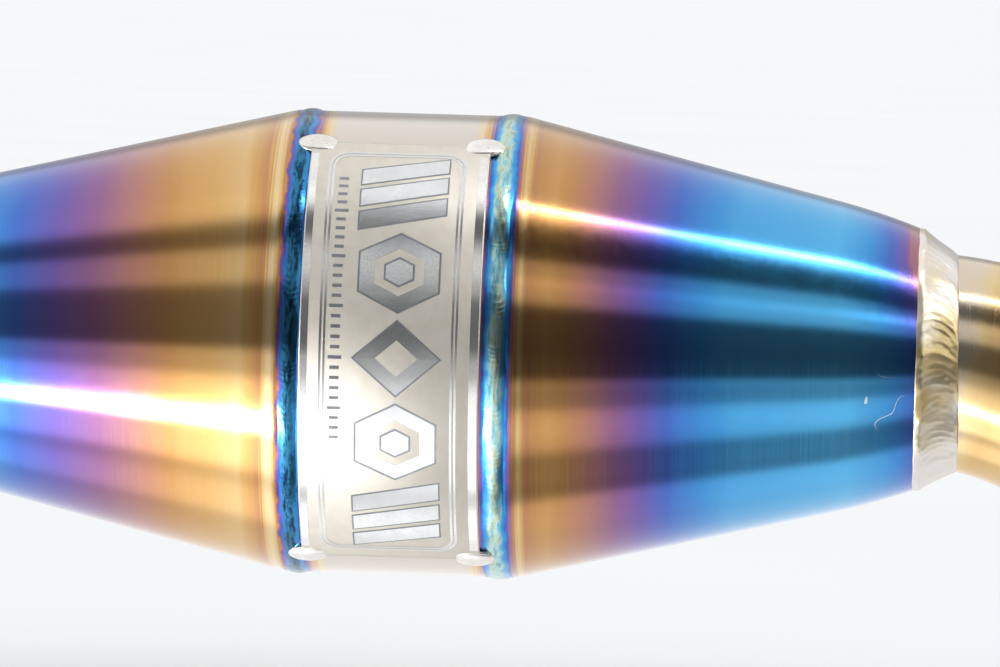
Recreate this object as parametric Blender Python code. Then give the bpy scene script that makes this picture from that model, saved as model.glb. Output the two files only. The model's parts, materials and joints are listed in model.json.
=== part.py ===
"""Double-cone titanium exhaust muffler for a motorcycle, with its inlet elbow, band clamp,
outlet tip, removable baffle and hanger. Metres, +Z up.

Two pressed cones are seam welded to a short centre band that carries a curved badge plate on
its outer side (-Y). +X runs along the body towards the inlet; the inlet elbow bends down to a
slotted slip joint, and the origin is the centre of that joint's mouth. Gas runs through a
perforated core wrapped in wool and packing, and leaves through a baffle that slides out of
the outlet tip once its retaining bolt is undone.
"""

import math

import bmesh
import bpy
from mathutils import Matrix, Vector

MM = 0.001

# General fits
GAP = 0.3 * MM              # between pieces that touch or are welded together
SHELL_SIDES = 48            # facets round the body
TUBE_SIDES = 32             # facets round the pipes

# Body shells
BODY_RADIUS = 55.0 * MM
BAND_LENGTH = 55.0 * MM     # corner to corner, both seams included
SHELL_WALL = 1.2 * MM
CONE_LENGTH = 94.0 * MM
CROWN_LENGTH = 19.0 * MM    # last stretch of each cone, which curves in
CROWN_TURN = math.radians(7.0)
CONE_END_STEP = 5.75 * MM   # cone's small end stands this much outside the pipe

# Welds
SEAM_WIDTH = 4.4 * MM
SEAM_INSET = 3.5 * MM       # seam's centre line, in from the body's corner
SEAM_RISE = 0.4 * MM
FILLET_LENGTH = 8.8 * MM
LONG_SEAM_WIDTH = 3.0 * MM
LONG_SEAM_RISE = 0.5 * MM
LONG_SEAM_ANGLE = math.radians(-150.0)

# Pipes
PIPE_RADIUS = 25.5 * MM
PIPE_WALL = 1.2 * MM
PIPE_STUB = 20.0 * MM       # reach of each pipe inside the cone
ELBOW_RADIUS = 76.5 * MM
ELBOW_ANGLE = math.radians(40.0)
PIPE_TAIL = 22.0 * MM       # straight stretch after the bend
END_RING_THICKNESS = 2.0 * MM

# Slip joint and clamp
SOCKET_WALL = 1.5 * MM
SOCKET_LENGTH = 50.0 * MM
SOCKET_OVERLAP = 12.0 * MM
SOCKET_SLOTS = 4
SLOT_LENGTH = 26.0 * MM
SLOT_WIDTH = 2.6 * MM
SOCKET_FILLET = 3.5 * MM
CLAMP_WIDTH = 18.0 * MM
CLAMP_THICKNESS = 1.6 * MM
CLAMP_FROM_MOUTH = 4.0 * MM
CLAMP_MOUTH = 9.0 * MM      # open gap between the ears
EAR_LENGTH = 15.0 * MM
EAR_THICKNESS = 2.4 * MM

# Fasteners
BOLT_RADIUS = 3.0 * MM
BOLT_HOLE_RADIUS = 3.3 * MM
HEX_RADIUS = 5.77 * MM      # corner radius of a 10 mm hexagon
HEAD_HEIGHT = 4.0 * MM
NUT_HEIGHT = 5.0 * MM
WASHER_RADIUS = 6.4 * MM
WASHER_THICKNESS = 1.2 * MM
BOLT_STICK_OUT = 6.0 * MM

# Outlet tip
TIP_LENGTH = 42.0 * MM      # past the cone's end
LIP_RADIUS = 2.4 * MM
BOSS_RADIUS = 7.0 * MM
BOSS_HEIGHT = 5.0 * MM
BOSS_FROM_LIP = 16.0 * MM

# Core and packing
CORE_WALL = 1.0 * MM
CORE_OVERLAP = 10.0 * MM    # reach of the core into each pipe stub
CORE_ROWS = 5
CORE_HOLES = 5              # round each row
CORE_HOLE_RADIUS = 3.0 * MM
WOOL_THICKNESS = 2.6 * MM
PACKING_END = 12.0 * MM     # packing stops this far short of the cone's end

# Baffle insert
BAFFLE_COLLAR = 20.0 * MM
BAFFLE_WALL = 1.2 * MM
BAFFLE_TUBE_RADIUS = 15.0 * MM
BAFFLE_TUBE_LENGTH = 84.0 * MM
BAFFLE_RECESS = 4.0 * MM    # baffle's face sits this far inside the lip
BAFFLE_ROWS = 4
BAFFLE_HOLES = 4
BAFFLE_HOLE_RADIUS = 2.6 * MM
RESTRICTOR_BORE = 9.0 * MM
RESTRICTOR_THICKNESS = 3.0 * MM

# Badge plate
BADGE_ARC = 118.8 * MM      # round the body, along its outer face
BADGE_THICKNESS = 0.8 * MM
BADGE_TO_INLET_SEAM = 1.4 * MM
BADGE_TO_OUTLET_SEAM = 0.2 * MM
BADGE_TURN = math.radians(-1.0)
TACK_RADIUS = 5.0 * MM
TACK_HEIGHT = 1.3 * MM

# Hanger
HANGER_LIFT = 14.0 * MM     # plate's inner face, above the band
HANGER_PLATE = 3.0 * MM
HANGER_HALF_SPAN = 22.0 * MM
HANGER_WIDTH = 30.0 * MM
GROMMET_HOLE = 9.0 * MM
GROMMET_FLANGE = 12.5 * MM
GROMMET_LIP = 3.0 * MM
SLEEVE_RADIUS = 6.0 * MM
SLEEVE_BORE = 4.25 * MM
SLEEVE_FLANGE = 10.0 * MM
SLEEVE_FLANGE_THICKNESS = 1.6 * MM
FOOT_FILLET = 3.0 * MM


# ---- measures worked out from the sizes above ----

corner_x = BAND_LENGTH / 2
cone_end_x = corner_x + CONE_LENGTH
crown_start_x = cone_end_x - CROWN_LENGTH
seam_x = corner_x - SEAM_INSET
seam_inner_x = seam_x - SEAM_WIDTH / 2
seam_outer_x = seam_x + SEAM_WIDTH / 2
cone_end_radius = PIPE_RADIUS + CONE_END_STEP
pipe_bore = PIPE_RADIUS - PIPE_WALL
core_radius = pipe_bore - GAP
tip_end_x = -(cone_end_x + TIP_LENGTH)
socket_bore = PIPE_RADIUS + GAP
socket_radius = socket_bore + SOCKET_WALL


def cone_angle():
    """Half angle of the cone's straight stretch, so that its crown ends on the end radius."""
    drop = BODY_RADIUS - cone_end_radius
    low, high = 0.0, math.radians(60)
    for _ in range(60):
        middle = (low + high) / 2
        reached = (CONE_LENGTH - CROWN_LENGTH) * math.tan(middle)
        reached += CROWN_LENGTH * math.tan(middle + CROWN_TURN / 2)
        low, high = (middle, high) if reached < drop else (low, middle)
    return (low + high) / 2


CONE_ANGLE = cone_angle()


def shell_slope(x):
    """Angle of the shell's surface to the body's axis."""
    x = abs(x)
    if x <= corner_x:
        return 0.0
    if x <= crown_start_x:
        return CONE_ANGLE
    bend = CROWN_LENGTH / (math.sin(CONE_ANGLE + CROWN_TURN) - math.sin(CONE_ANGLE))
    return math.asin(min(1.0, math.sin(CONE_ANGLE) + (x - crown_start_x) / bend))


def shell_radius(x, depth=0.0):
    """Radius of the shell at x, measured `depth` under its outer surface."""
    x = abs(x)
    slope = shell_slope(x)
    if x <= corner_x:
        radius = BODY_RADIUS
    elif x <= crown_start_x:
        radius = BODY_RADIUS - (x - corner_x) * math.tan(CONE_ANGLE)
    else:
        straight = BODY_RADIUS - (crown_start_x - corner_x) * math.tan(CONE_ANGLE)
        radius = straight - (x - crown_start_x) * math.tan((CONE_ANGLE + slope) / 2)
    return radius - depth / math.cos(slope)


# ---- modelling helpers ----

def clear_scene():
    for item in list(bpy.data.objects):
        bpy.data.objects.remove(item, do_unlink=True)


def finish_of(name, color, roughness, metallic=1.0):
    material = bpy.data.materials.new(name)
    material.use_nodes = True
    shader = material.node_tree.nodes["Principled BSDF"]
    shader.inputs["Base Color"].default_value = (*color, 1.0)
    shader.inputs["Roughness"].default_value = roughness
    shader.inputs["Metallic"].default_value = metallic
    material.diffuse_color = (*color, 1.0)
    return material


def empty_at(name, location, parent=None, rotation=(0, 0, 0)):
    empty = bpy.data.objects.new(name, None)
    bpy.context.scene.collection.objects.link(empty)
    empty.location = location
    empty.rotation_euler = rotation
    empty.parent = parent
    return empty


def add_piece(name, solid, finish, parent, location=(0, 0, 0)):
    """Turns a bmesh solid into a named object with its finish."""
    bmesh.ops.recalc_face_normals(solid, faces=solid.faces)
    mesh = bpy.data.meshes.new(name)
    solid.to_mesh(mesh)
    solid.free()
    mesh.shade_smooth()
    mesh.set_sharp_from_angle(angle=math.radians(35))
    piece = bpy.data.objects.new(name, mesh)
    bpy.context.scene.collection.objects.link(piece)
    piece.parent = parent
    piece.location = location
    if finish:
        mesh.materials.append(finish)
    return piece


def turned(outline, sides):
    """Solid of revolution about local X from a closed outline of (x, radius) points."""
    solid = bmesh.new()
    ring = [solid.verts.new((x, 0, radius)) for x, radius in outline]
    edges = [solid.edges.new((ring[i - 1], ring[i])) for i in range(len(ring))]
    bmesh.ops.spin(solid, geom=ring + edges, axis=(1, 0, 0), angle=2 * math.pi,
                   steps=sides, use_merge=True)
    return solid


def rod(start, end, radius, sides, shape=None):
    """Closed prism along local X; `shape` places it."""
    solid = bmesh.new()
    place = Matrix.Translation(((start + end) / 2, 0, 0)) @ Matrix.Rotation(math.pi / 2, 4, "Y")
    bmesh.ops.create_cone(solid, cap_ends=True, segments=sides, radius1=radius,
                          radius2=radius, depth=end - start,
                          matrix=(shape or Matrix()) @ place)
    return solid


def swept(sections):
    """Closed solid through a list of equal closed sections, with both ends capped."""
    solid = bmesh.new()
    loops = [[solid.verts.new(point) for point in section] for section in sections]
    count = len(loops[0])
    for near, far in zip(loops, loops[1:]):
        for i in range(count):
            j = (i + 1) % count
            solid.faces.new((near[i], near[j], far[j], far[i]))
    solid.faces.new(reversed(loops[0]))
    solid.faces.new(loops[-1])
    return solid


def extruded(outline, start, end):
    """Prism along local X from a closed outline of (y, z) points."""
    return swept([[(x, y, z) for y, z in outline] for x in (start, end)])


def cut(piece, cutter_name, solid, parent, location=(0, 0, 0)):
    """Cuts a hidden solid out of a piece."""
    cutter = add_piece(cutter_name, solid, None, parent, location)
    cutter.hide_render = True
    cutter.display_type = "WIRE"
    boolean = piece.modifiers.new(cutter_name, "BOOLEAN")
    boolean.operation = "DIFFERENCE"
    boolean.solver = "EXACT"
    boolean.object = cutter


def merged(solids):
    """Several closed cutters in one mesh."""
    whole = bmesh.new()
    for solid in solids:
        mesh = bpy.data.meshes.new("cutter_piece")
        solid.to_mesh(mesh)
        solid.free()
        whole.from_mesh(mesh)
        bpy.data.meshes.remove(mesh)
    return whole


def hole_grid(start, end, rows, around, hole_radius, tube_radius, tube_wall):
    """Radial drills for a perforated tube, staggered from row to row."""
    drills = []
    depth = tube_wall * 2
    for row in range(rows):
        x = start + (end - start) * (row + 0.5) / rows
        for hole in range(around):
            angle = 2 * math.pi * (hole + 0.5 * (row % 2)) / around
            place = (Matrix.Translation((x, 0, 0)) @ Matrix.Rotation(angle, 4, "X")
                     @ Matrix.Rotation(-math.pi / 2, 4, "Y"))
            drills.append(rod(tube_radius - depth, tube_radius + tube_wall, hole_radius, 8, place))
    return merged(drills)


def around_body(x, radius, angle):
    """Point on the body; angle 0 faces -Y and turns up towards +Z."""
    return (x, -radius * math.cos(angle), radius * math.sin(angle))


def fillet_face(low, high, length):
    """Hollow face of a fillet weld, as (distance along, radius) from its tall end to its thin one."""
    toe = low + GAP
    face = []
    for step in range(5):
        t = step / 4
        sag = 0.22 * math.sin(math.pi * t)
        face.append((length * t, toe + (high - toe) * (1 - t) * (1 - sag)))
    return face


def fillet_ring(x, low, high, length):
    """Closed outline of a fillet weld that starts at x and thins out towards +X."""
    face = [(x + along, radius) for along, radius in fillet_face(low, high, length)]
    return [(x, low)] + face + [(x + length, low)]


def sleeve_along(places, outer_radii, bore):
    """Round sleeve whose axis runs through the places, with one outer radius at each."""
    solid = bmesh.new()
    walls = []
    for radii in (outer_radii, [bore] * len(places)):
        rings = []
        for place, radius in zip(places, radii):
            ring = []
            for side in range(TUBE_SIDES):
                angle = 2 * math.pi * side / TUBE_SIDES
                point = Vector((0, radius * math.sin(angle), radius * math.cos(angle)))
                ring.append(solid.verts.new(place @ point))
            rings.append(ring)
        walls.append(rings)
        for near, far in zip(rings, rings[1:]):
            for i in range(TUBE_SIDES):
                solid.faces.new((near[i - 1], near[i], far[i], far[i - 1]))
    outer, inner = walls
    for end in (0, -1):
        for i in range(TUBE_SIDES):
            solid.faces.new((outer[end][i - 1], outer[end][i], inner[end][i], inner[end][i - 1]))
    return solid


# ---- finishes ----

def make_finishes():
    return {
        "heat_tinted": finish_of("heat_tinted_titanium", (0.35, 0.24, 0.30), 0.28),
        "straw": finish_of("straw_titanium", (0.60, 0.50, 0.36), 0.30),
        "weld": finish_of("weld_bead", (0.55, 0.50, 0.42), 0.34),
        "seam": finish_of("blued_seam_weld", (0.10, 0.20, 0.42), 0.32),
        "badge": finish_of("etched_badge_plate", (0.62, 0.58, 0.50), 0.34),
        "steel": finish_of("stainless_steel", (0.56, 0.56, 0.56), 0.30),
        "fastener": finish_of("plated_fastener", (0.62, 0.62, 0.64), 0.28),
        "rubber": finish_of("hanger_rubber", (0.03, 0.03, 0.03), 0.75, 0.0),
        "wool": finish_of("steel_wool", (0.42, 0.42, 0.41), 0.60),
        "packing": finish_of("glass_packing", (0.80, 0.78, 0.70), 0.90, 0.0),
    }


# ---- body ----

def make_shells(body, finish):
    for side, name in ((1, "inlet"), (-1, "outlet")):
        stations = [seam_outer_x + GAP, corner_x, crown_start_x]
        stations += [crown_start_x + CROWN_LENGTH * step / 3 for step in (1, 2, 3)]
        outer = [(side * x, shell_radius(x)) for x in stations]
        inner = [(side * x, shell_radius(x, SHELL_WALL)) for x in reversed(stations)]
        add_piece(name + "_cone", turned(outer + inner, SHELL_SIDES), finish["heat_tinted"], body)

    half = seam_inner_x - GAP
    bore = BODY_RADIUS - SHELL_WALL
    band = [(-half, BODY_RADIUS), (half, BODY_RADIUS), (half, bore), (-half, bore)]
    add_piece("centre_band", turned(band, SHELL_SIDES), finish["straw"], body)


def make_seam_welds(body, finish):
    bore = BODY_RADIUS - SHELL_WALL
    for side, name in ((1, "inlet"), (-1, "outlet")):
        outline = [(side * seam_inner_x, BODY_RADIUS),
                   (side * (seam_x - SEAM_WIDTH / 5), BODY_RADIUS + SEAM_RISE),
                   (side * (seam_x + SEAM_WIDTH / 5), BODY_RADIUS + SEAM_RISE),
                   (side * seam_outer_x, BODY_RADIUS),
                   (side * seam_outer_x, bore),
                   (side * seam_inner_x, bore)]
        add_piece(name + "_seam_weld", turned(outline, SHELL_SIDES), finish["seam"], body)

    spans = {"inlet_cone_seam": (corner_x + GAP, cone_end_x - GAP),
             "band_seam": (-seam_inner_x + GAP, seam_inner_x - GAP),
             "outlet_cone_seam": (-cone_end_x + GAP, -corner_x - GAP)}
    for name, (start, end) in spans.items():
        sections = []
        for x in [start, crown_start_x * (1 if start > 0 else -1), end]:
            if not start <= x <= end:
                continue
            half = LONG_SEAM_WIDTH / 2 / shell_radius(x)
            section = []
            for turn, rise in ((-half, GAP), (-half / 2, GAP + LONG_SEAM_RISE),
                               (half / 2, GAP + LONG_SEAM_RISE), (half, GAP)):
                radius = shell_radius(x, -rise)
                section.append(around_body(x, radius, LONG_SEAM_ANGLE + turn))
            sections.append(section)
        add_piece(name, swept(sections), finish["seam"], body)


def make_ends(body, finish):
    for side, name in ((1, "inlet"), (-1, "outlet")):
        inside = cone_end_x - END_RING_THICKNESS
        rim = shell_radius(inside, SHELL_WALL) - GAP
        face_rim = shell_radius(cone_end_x, SHELL_WALL) - GAP
        hole = PIPE_RADIUS + GAP
        ring = [(side * inside, rim), (side * cone_end_x, face_rim),
                (side * cone_end_x, hole), (side * inside, hole)]
        add_piece(name + "_end_ring", turned(ring, TUBE_SIDES), finish["straw"], body)

    bead = fillet_ring(cone_end_x + GAP, PIPE_RADIUS + GAP, cone_end_radius - GAP, FILLET_LENGTH)
    bead = [(-x, radius) for x, radius in bead]
    add_piece("outlet_weld_bead", turned(bead, TUBE_SIDES), finish["weld"], body)


# ---- inlet ----

def elbow_place(angle, beyond=0.0):
    """Frame at `angle` along the bend, then `beyond` straight on; local X runs downstream."""
    centre = Vector((cone_end_x, 0, -ELBOW_RADIUS))
    place = Matrix.Translation(centre) @ Matrix.Rotation(angle, 4, "Y")
    return place @ Matrix.Translation((beyond, 0, ELBOW_RADIUS))


def make_inlet_pipe(body, finish):
    """Elbow with its straight stub inside the cone and its straight tail."""
    steps = 8
    places = [Matrix.Translation((cone_end_x - PIPE_STUB, 0, 0))]
    places += [elbow_place(ELBOW_ANGLE * step / steps) for step in range(steps + 1)]
    places.append(elbow_place(ELBOW_ANGLE, PIPE_TAIL))
    pipe = sleeve_along(places, [PIPE_RADIUS] * len(places), pipe_bore)
    add_piece("inlet_pipe", pipe, finish["straw"], body)

    face = fillet_face(PIPE_RADIUS + GAP, cone_end_radius - GAP, FILLET_LENGTH)
    places = [elbow_place((GAP + along) / ELBOW_RADIUS) for along, _ in face]
    bead = sleeve_along(places, [radius for _, radius in face], PIPE_RADIUS + GAP)
    add_piece("inlet_weld_bead", bead, finish["weld"], body)


def make_socket(joint, finish):
    """Slotted slip joint, in the frame whose X is the socket's axis and origin its mouth."""
    outline = [(-SOCKET_LENGTH, socket_radius), (0, socket_radius),
               (0, socket_bore), (-SOCKET_LENGTH, socket_bore)]
    socket = add_piece("inlet_socket", turned(outline, TUBE_SIDES), finish["straw"], joint)
    slots = []
    for slot in range(SOCKET_SLOTS):
        turn = Matrix.Rotation(2 * math.pi * (slot + 0.5) / SOCKET_SLOTS, 4, "X")
        half = SLOT_WIDTH / 2
        far = socket_radius + SOCKET_WALL
        near = socket_bore - SOCKET_WALL
        bar = extruded([(-half, near), (half, near), (half, far), (-half, far)],
                       -SLOT_LENGTH, SLOT_WIDTH)
        bmesh.ops.transform(bar, matrix=turn, verts=bar.verts)
        slots.append(bar)
    cut(socket, "socket_slots", merged(slots), joint)

    bead = fillet_ring(SOCKET_LENGTH + GAP, PIPE_RADIUS + GAP, socket_radius, SOCKET_FILLET)
    bead = [(-x, radius) for x, radius in bead]
    add_piece("socket_weld_bead", turned(bead, TUBE_SIDES), finish["weld"], joint)


def make_clamp(joint, finish):
    """Band clamp round the slip joint with its ears pointing down, and its bolt along Y."""
    end = -CLAMP_FROM_MOUTH
    start = end - CLAMP_WIDTH
    bore = socket_radius + GAP
    outside = bore + CLAMP_THICKNESS
    half = CLAMP_MOUTH / 2
    ear_end = outside + EAR_LENGTH
    steps = TUBE_SIDES

    def arc(radius, half_gap):
        """Points round the clamp from one ear to the other, opening downwards."""
        gap = math.asin(half_gap / radius)
        turns = [gap + (2 * math.pi - 2 * gap) * step / steps for step in range(steps + 1)]
        return [(radius * math.sin(turn), -radius * math.cos(turn)) for turn in turns]

    outline = arc(outside, half + EAR_THICKNESS)
    outline += [(-half - EAR_THICKNESS, -ear_end), (-half, -ear_end)]
    outline += list(reversed(arc(bore, half)))
    outline += [(half, -ear_end), (half + EAR_THICKNESS, -ear_end)]
    clamp = add_piece("clamp_band", extruded(outline, start, end), finish["steel"], joint)

    hole_z = -(outside + EAR_LENGTH * 0.55)
    bolt_axis = empty_at("clamp_bolt_axis", ((start + end) / 2, 0, hole_z), joint,
                         (0, 0, math.pi / 2))
    ear_face = half + EAR_THICKNESS
    reach = ear_face + EAR_THICKNESS
    cut(clamp, "clamp_bolt_hole", rod(-reach, reach, BOLT_HOLE_RADIUS, 16), bolt_axis)

    head_face = -(ear_face + GAP)
    nut_face = ear_face + 2 * GAP + WASHER_THICKNESS
    make_bolt("clamp_bolt", head_face, nut_face + NUT_HEIGHT + BOLT_STICK_OUT, bolt_axis, finish)
    washer = washer_outline(ear_face + GAP)
    add_piece("clamp_washer", turned(washer, 20), finish["fastener"], bolt_axis)
    nut_axis = empty_at("clamp_nut_axis", (0, 0, 0), bolt_axis)
    nut = add_piece("clamp_nut", rod(nut_face, nut_face + NUT_HEIGHT, HEX_RADIUS, 6),
                    finish["fastener"], nut_axis)
    cut(nut, "clamp_nut_bore",
        rod(nut_face - NUT_HEIGHT, nut_face + 2 * NUT_HEIGHT, BOLT_HOLE_RADIUS, 16), nut_axis)


def washer_outline(x):
    return [(x, WASHER_RADIUS), (x + WASHER_THICKNESS, WASHER_RADIUS),
            (x + WASHER_THICKNESS, BOLT_HOLE_RADIUS), (x, BOLT_HOLE_RADIUS)]


def make_bolt(name, head_face, tip, parent, finish):
    """Hexagon bolt along X: its head lies on the far side of head_face from its tip."""
    back = head_face - math.copysign(HEAD_HEIGHT, tip - head_face)
    turns = [math.pi * step / 6 for step in range(12)]
    flat = HEX_RADIUS * math.cos(math.pi / 6)
    hexagon = [flat / math.cos(turn % (math.pi / 3) - math.pi / 6) for turn in turns]
    circle = [BOLT_RADIUS] * len(turns)
    rings = ((back, hexagon), (head_face, hexagon), (head_face, circle), (tip, circle))
    sections = [[(x, reach * math.cos(turn), reach * math.sin(turn))
                 for turn, reach in zip(turns, reaches)] for x, reaches in rings]
    return add_piece(name, swept(sections), finish["fastener"], parent)


# ---- outlet and baffle ----

def make_outlet_tip(body, finish):
    """Straight outlet pipe with a rolled lip."""
    lip_x = tip_end_x + LIP_RADIUS
    lip_centre = PIPE_RADIUS + LIP_RADIUS * 0.45
    outer = [(-(cone_end_x - PIPE_STUB), PIPE_RADIUS), (lip_x + LIP_RADIUS * 1.5, PIPE_RADIUS)]
    for step in range(6):
        turn = math.radians(50 + 40 * step)
        outer.append((lip_x + LIP_RADIUS * math.cos(turn),
                      lip_centre + LIP_RADIUS * math.sin(turn)))
    outer.append((tip_end_x + LIP_RADIUS, pipe_bore))
    outer.append((-(cone_end_x - PIPE_STUB), pipe_bore))
    tip = add_piece("outlet_tip", turned(outer, TUBE_SIDES), finish["straw"], body)

    bolt_axis = empty_at("baffle_bolt_axis", (tip_end_x + BOSS_FROM_LIP, 0, 0), body,
                         (0, 0, math.pi / 2))
    cut(tip, "tip_bolt_hole",
        rod(pipe_bore - PIPE_WALL * 3, PIPE_RADIUS + PIPE_WALL * 3, BOLT_HOLE_RADIUS, 16), bolt_axis)

    boss_top = PIPE_RADIUS + BOSS_HEIGHT
    boss_low = pipe_bore - BOSS_HEIGHT
    boss = turned([(boss_low, BOSS_RADIUS), (boss_top, BOSS_RADIUS),
                   (boss_top, BOLT_HOLE_RADIUS), (boss_low, BOLT_HOLE_RADIUS)], 20)
    boss = add_piece("bolt_boss", boss, finish["straw"], bolt_axis)
    cut(boss, "boss_saddle", rod(tip_end_x - BOSS_RADIUS, tip_end_x + TIP_LENGTH,
                                 PIPE_RADIUS + GAP, TUBE_SIDES), body)

    add_piece("baffle_bolt_washer", turned(washer_outline(boss_top + GAP), 20),
              finish["fastener"], bolt_axis)
    spin_axis = empty_at("baffle_bolt_spin_axis", (0, 0, 0), bolt_axis)
    make_bolt("baffle_bolt", boss_top + 2 * GAP + WASHER_THICKNESS, pipe_bore, spin_axis, finish)


def make_baffle(body, finish):
    """Insert that slides out of the outlet tip: collared ring, perforated tube, restrictor."""
    slide = empty_at("baffle_axis", (tip_end_x + BAFFLE_RECESS, 0, 0), body)
    collar = core_radius
    wall = BAFFLE_WALL
    hole = BAFFLE_TUBE_RADIUS + GAP
    ring = [(0, collar - wall), (wall, collar), (BAFFLE_COLLAR, collar),
            (BAFFLE_COLLAR, collar - wall), (2 * wall, collar - wall),
            (wall, hole), (0, hole)]
    add_piece("baffle_ring", turned(ring, TUBE_SIDES), finish["steel"], slide)

    bore = BAFFLE_TUBE_RADIUS - wall
    start = -wall
    end = start + BAFFLE_TUBE_LENGTH
    tube = [(start, BAFFLE_TUBE_RADIUS), (end, BAFFLE_TUBE_RADIUS), (end, bore), (start, bore)]
    tube = add_piece("baffle_tube", turned(tube, TUBE_SIDES), finish["steel"], slide)
    cut(tube, "baffle_perforation",
        hole_grid(BAFFLE_COLLAR + wall, end - RESTRICTOR_THICKNESS * 2, BAFFLE_ROWS, BAFFLE_HOLES,
                  BAFFLE_HOLE_RADIUS, BAFFLE_TUBE_RADIUS, wall), slide)

    stop = [(end - RESTRICTOR_THICKNESS, bore - GAP), (end, bore - GAP),
            (end, RESTRICTOR_BORE), (end - RESTRICTOR_THICKNESS, RESTRICTOR_BORE)]
    add_piece("baffle_restrictor", turned(stop, TUBE_SIDES), finish["steel"], slide)


# ---- inside ----

def make_core(body, finish):
    half = cone_end_x - PIPE_STUB + CORE_OVERLAP
    bore = core_radius - CORE_WALL
    tube = [(-half, core_radius), (half, core_radius), (half, bore), (-half, bore)]
    tube = add_piece("core_tube", turned(tube, TUBE_SIDES), finish["steel"], body)
    reach = half - CORE_OVERLAP * 2
    cut(tube, "core_perforation",
        hole_grid(-reach, reach, CORE_ROWS, CORE_HOLES, CORE_HOLE_RADIUS, core_radius,
                  CORE_WALL), body)

    wrap = cone_end_x - PIPE_STUB - GAP
    wool_bore = core_radius + GAP
    wool_radius = wool_bore + WOOL_THICKNESS
    wool = [(-wrap, wool_radius), (wrap, wool_radius), (wrap, wool_bore), (-wrap, wool_bore)]
    add_piece("wool_wrap", turned(wool, TUBE_SIDES), finish["wool"], body)

    end = cone_end_x - PACKING_END
    stations = [-end, -crown_start_x, -corner_x, corner_x, crown_start_x, end]
    stations = [x for x in stations if abs(x) <= end]
    depth = SHELL_WALL + 2 * GAP
    packing = [(x, shell_radius(x, depth)) for x in stations]
    packing += [(end, wool_radius + GAP), (-end, wool_radius + GAP)]
    add_piece("packing", turned(packing, TUBE_SIDES), finish["packing"], body)


# ---- badge ----

def make_badge(body, finish):
    low = BODY_RADIUS + GAP
    high = low + BADGE_THICKNESS
    half_turn = BADGE_ARC / 2 / high
    start = -seam_inner_x + BADGE_TO_OUTLET_SEAM
    end = seam_inner_x - BADGE_TO_INLET_SEAM
    steps = 24
    sections = []
    for step in range(steps + 1):
        angle = BADGE_TURN - half_turn + 2 * half_turn * step / steps
        sections.append([around_body(x, radius, angle)
                         for x, radius in ((start, low), (end, low), (end, high), (start, high))])
    plate = add_piece("badge_plate", swept(sections), finish["badge"], body)

    notches = []
    tack_floor = BODY_RADIUS + SEAM_RISE + GAP
    corners = [(x, BADGE_TURN + turn) for turn in (half_turn, -half_turn) for x in (start, end)]
    for number, (x, angle) in enumerate(corners, 1):
        place = (Matrix.Translation((x, 0, 0)) @ Matrix.Rotation(-angle, 4, "X")
                 @ Matrix.Rotation(-math.pi / 2, 4, "Z"))
        notches.append(rod(BODY_RADIUS - SHELL_WALL, high + TACK_HEIGHT, TACK_RADIUS + GAP, 16,
                           place))
        lens = [(tack_floor, 0.0), (tack_floor, TACK_RADIUS), (tack_floor + TACK_HEIGHT * 0.35,
                TACK_RADIUS * 0.94), (tack_floor + TACK_HEIGHT * 0.8, TACK_RADIUS * 0.6)]
        tack = capped_turn(lens, tack_floor + TACK_HEIGHT, 16)
        bmesh.ops.transform(tack, matrix=place, verts=tack.verts)
        add_piece(f"badge_tack_{number}", tack, finish["weld"], body)
    cut(plate, "badge_corner_notches", merged(notches), body)


def capped_turn(outline, top, sides):
    """Turned solid that closes on the axis at both ends."""
    solid = bmesh.new()
    rings = []
    for x, radius in outline[1:]:
        rings.append([solid.verts.new((x, radius * math.sin(2 * math.pi * i / sides),
                                       radius * math.cos(2 * math.pi * i / sides)))
                      for i in range(sides)])
    for near, far in zip(rings, rings[1:]):
        for i in range(sides):
            solid.faces.new((near[i - 1], near[i], far[i], far[i - 1]))
    for ring, x in ((rings[0], outline[0][0]), (rings[-1], top)):
        tip = solid.verts.new((x, 0, 0))
        for i in range(sides):
            solid.faces.new((ring[i - 1], ring[i], tip))
    return solid


# ---- hanger ----

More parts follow.
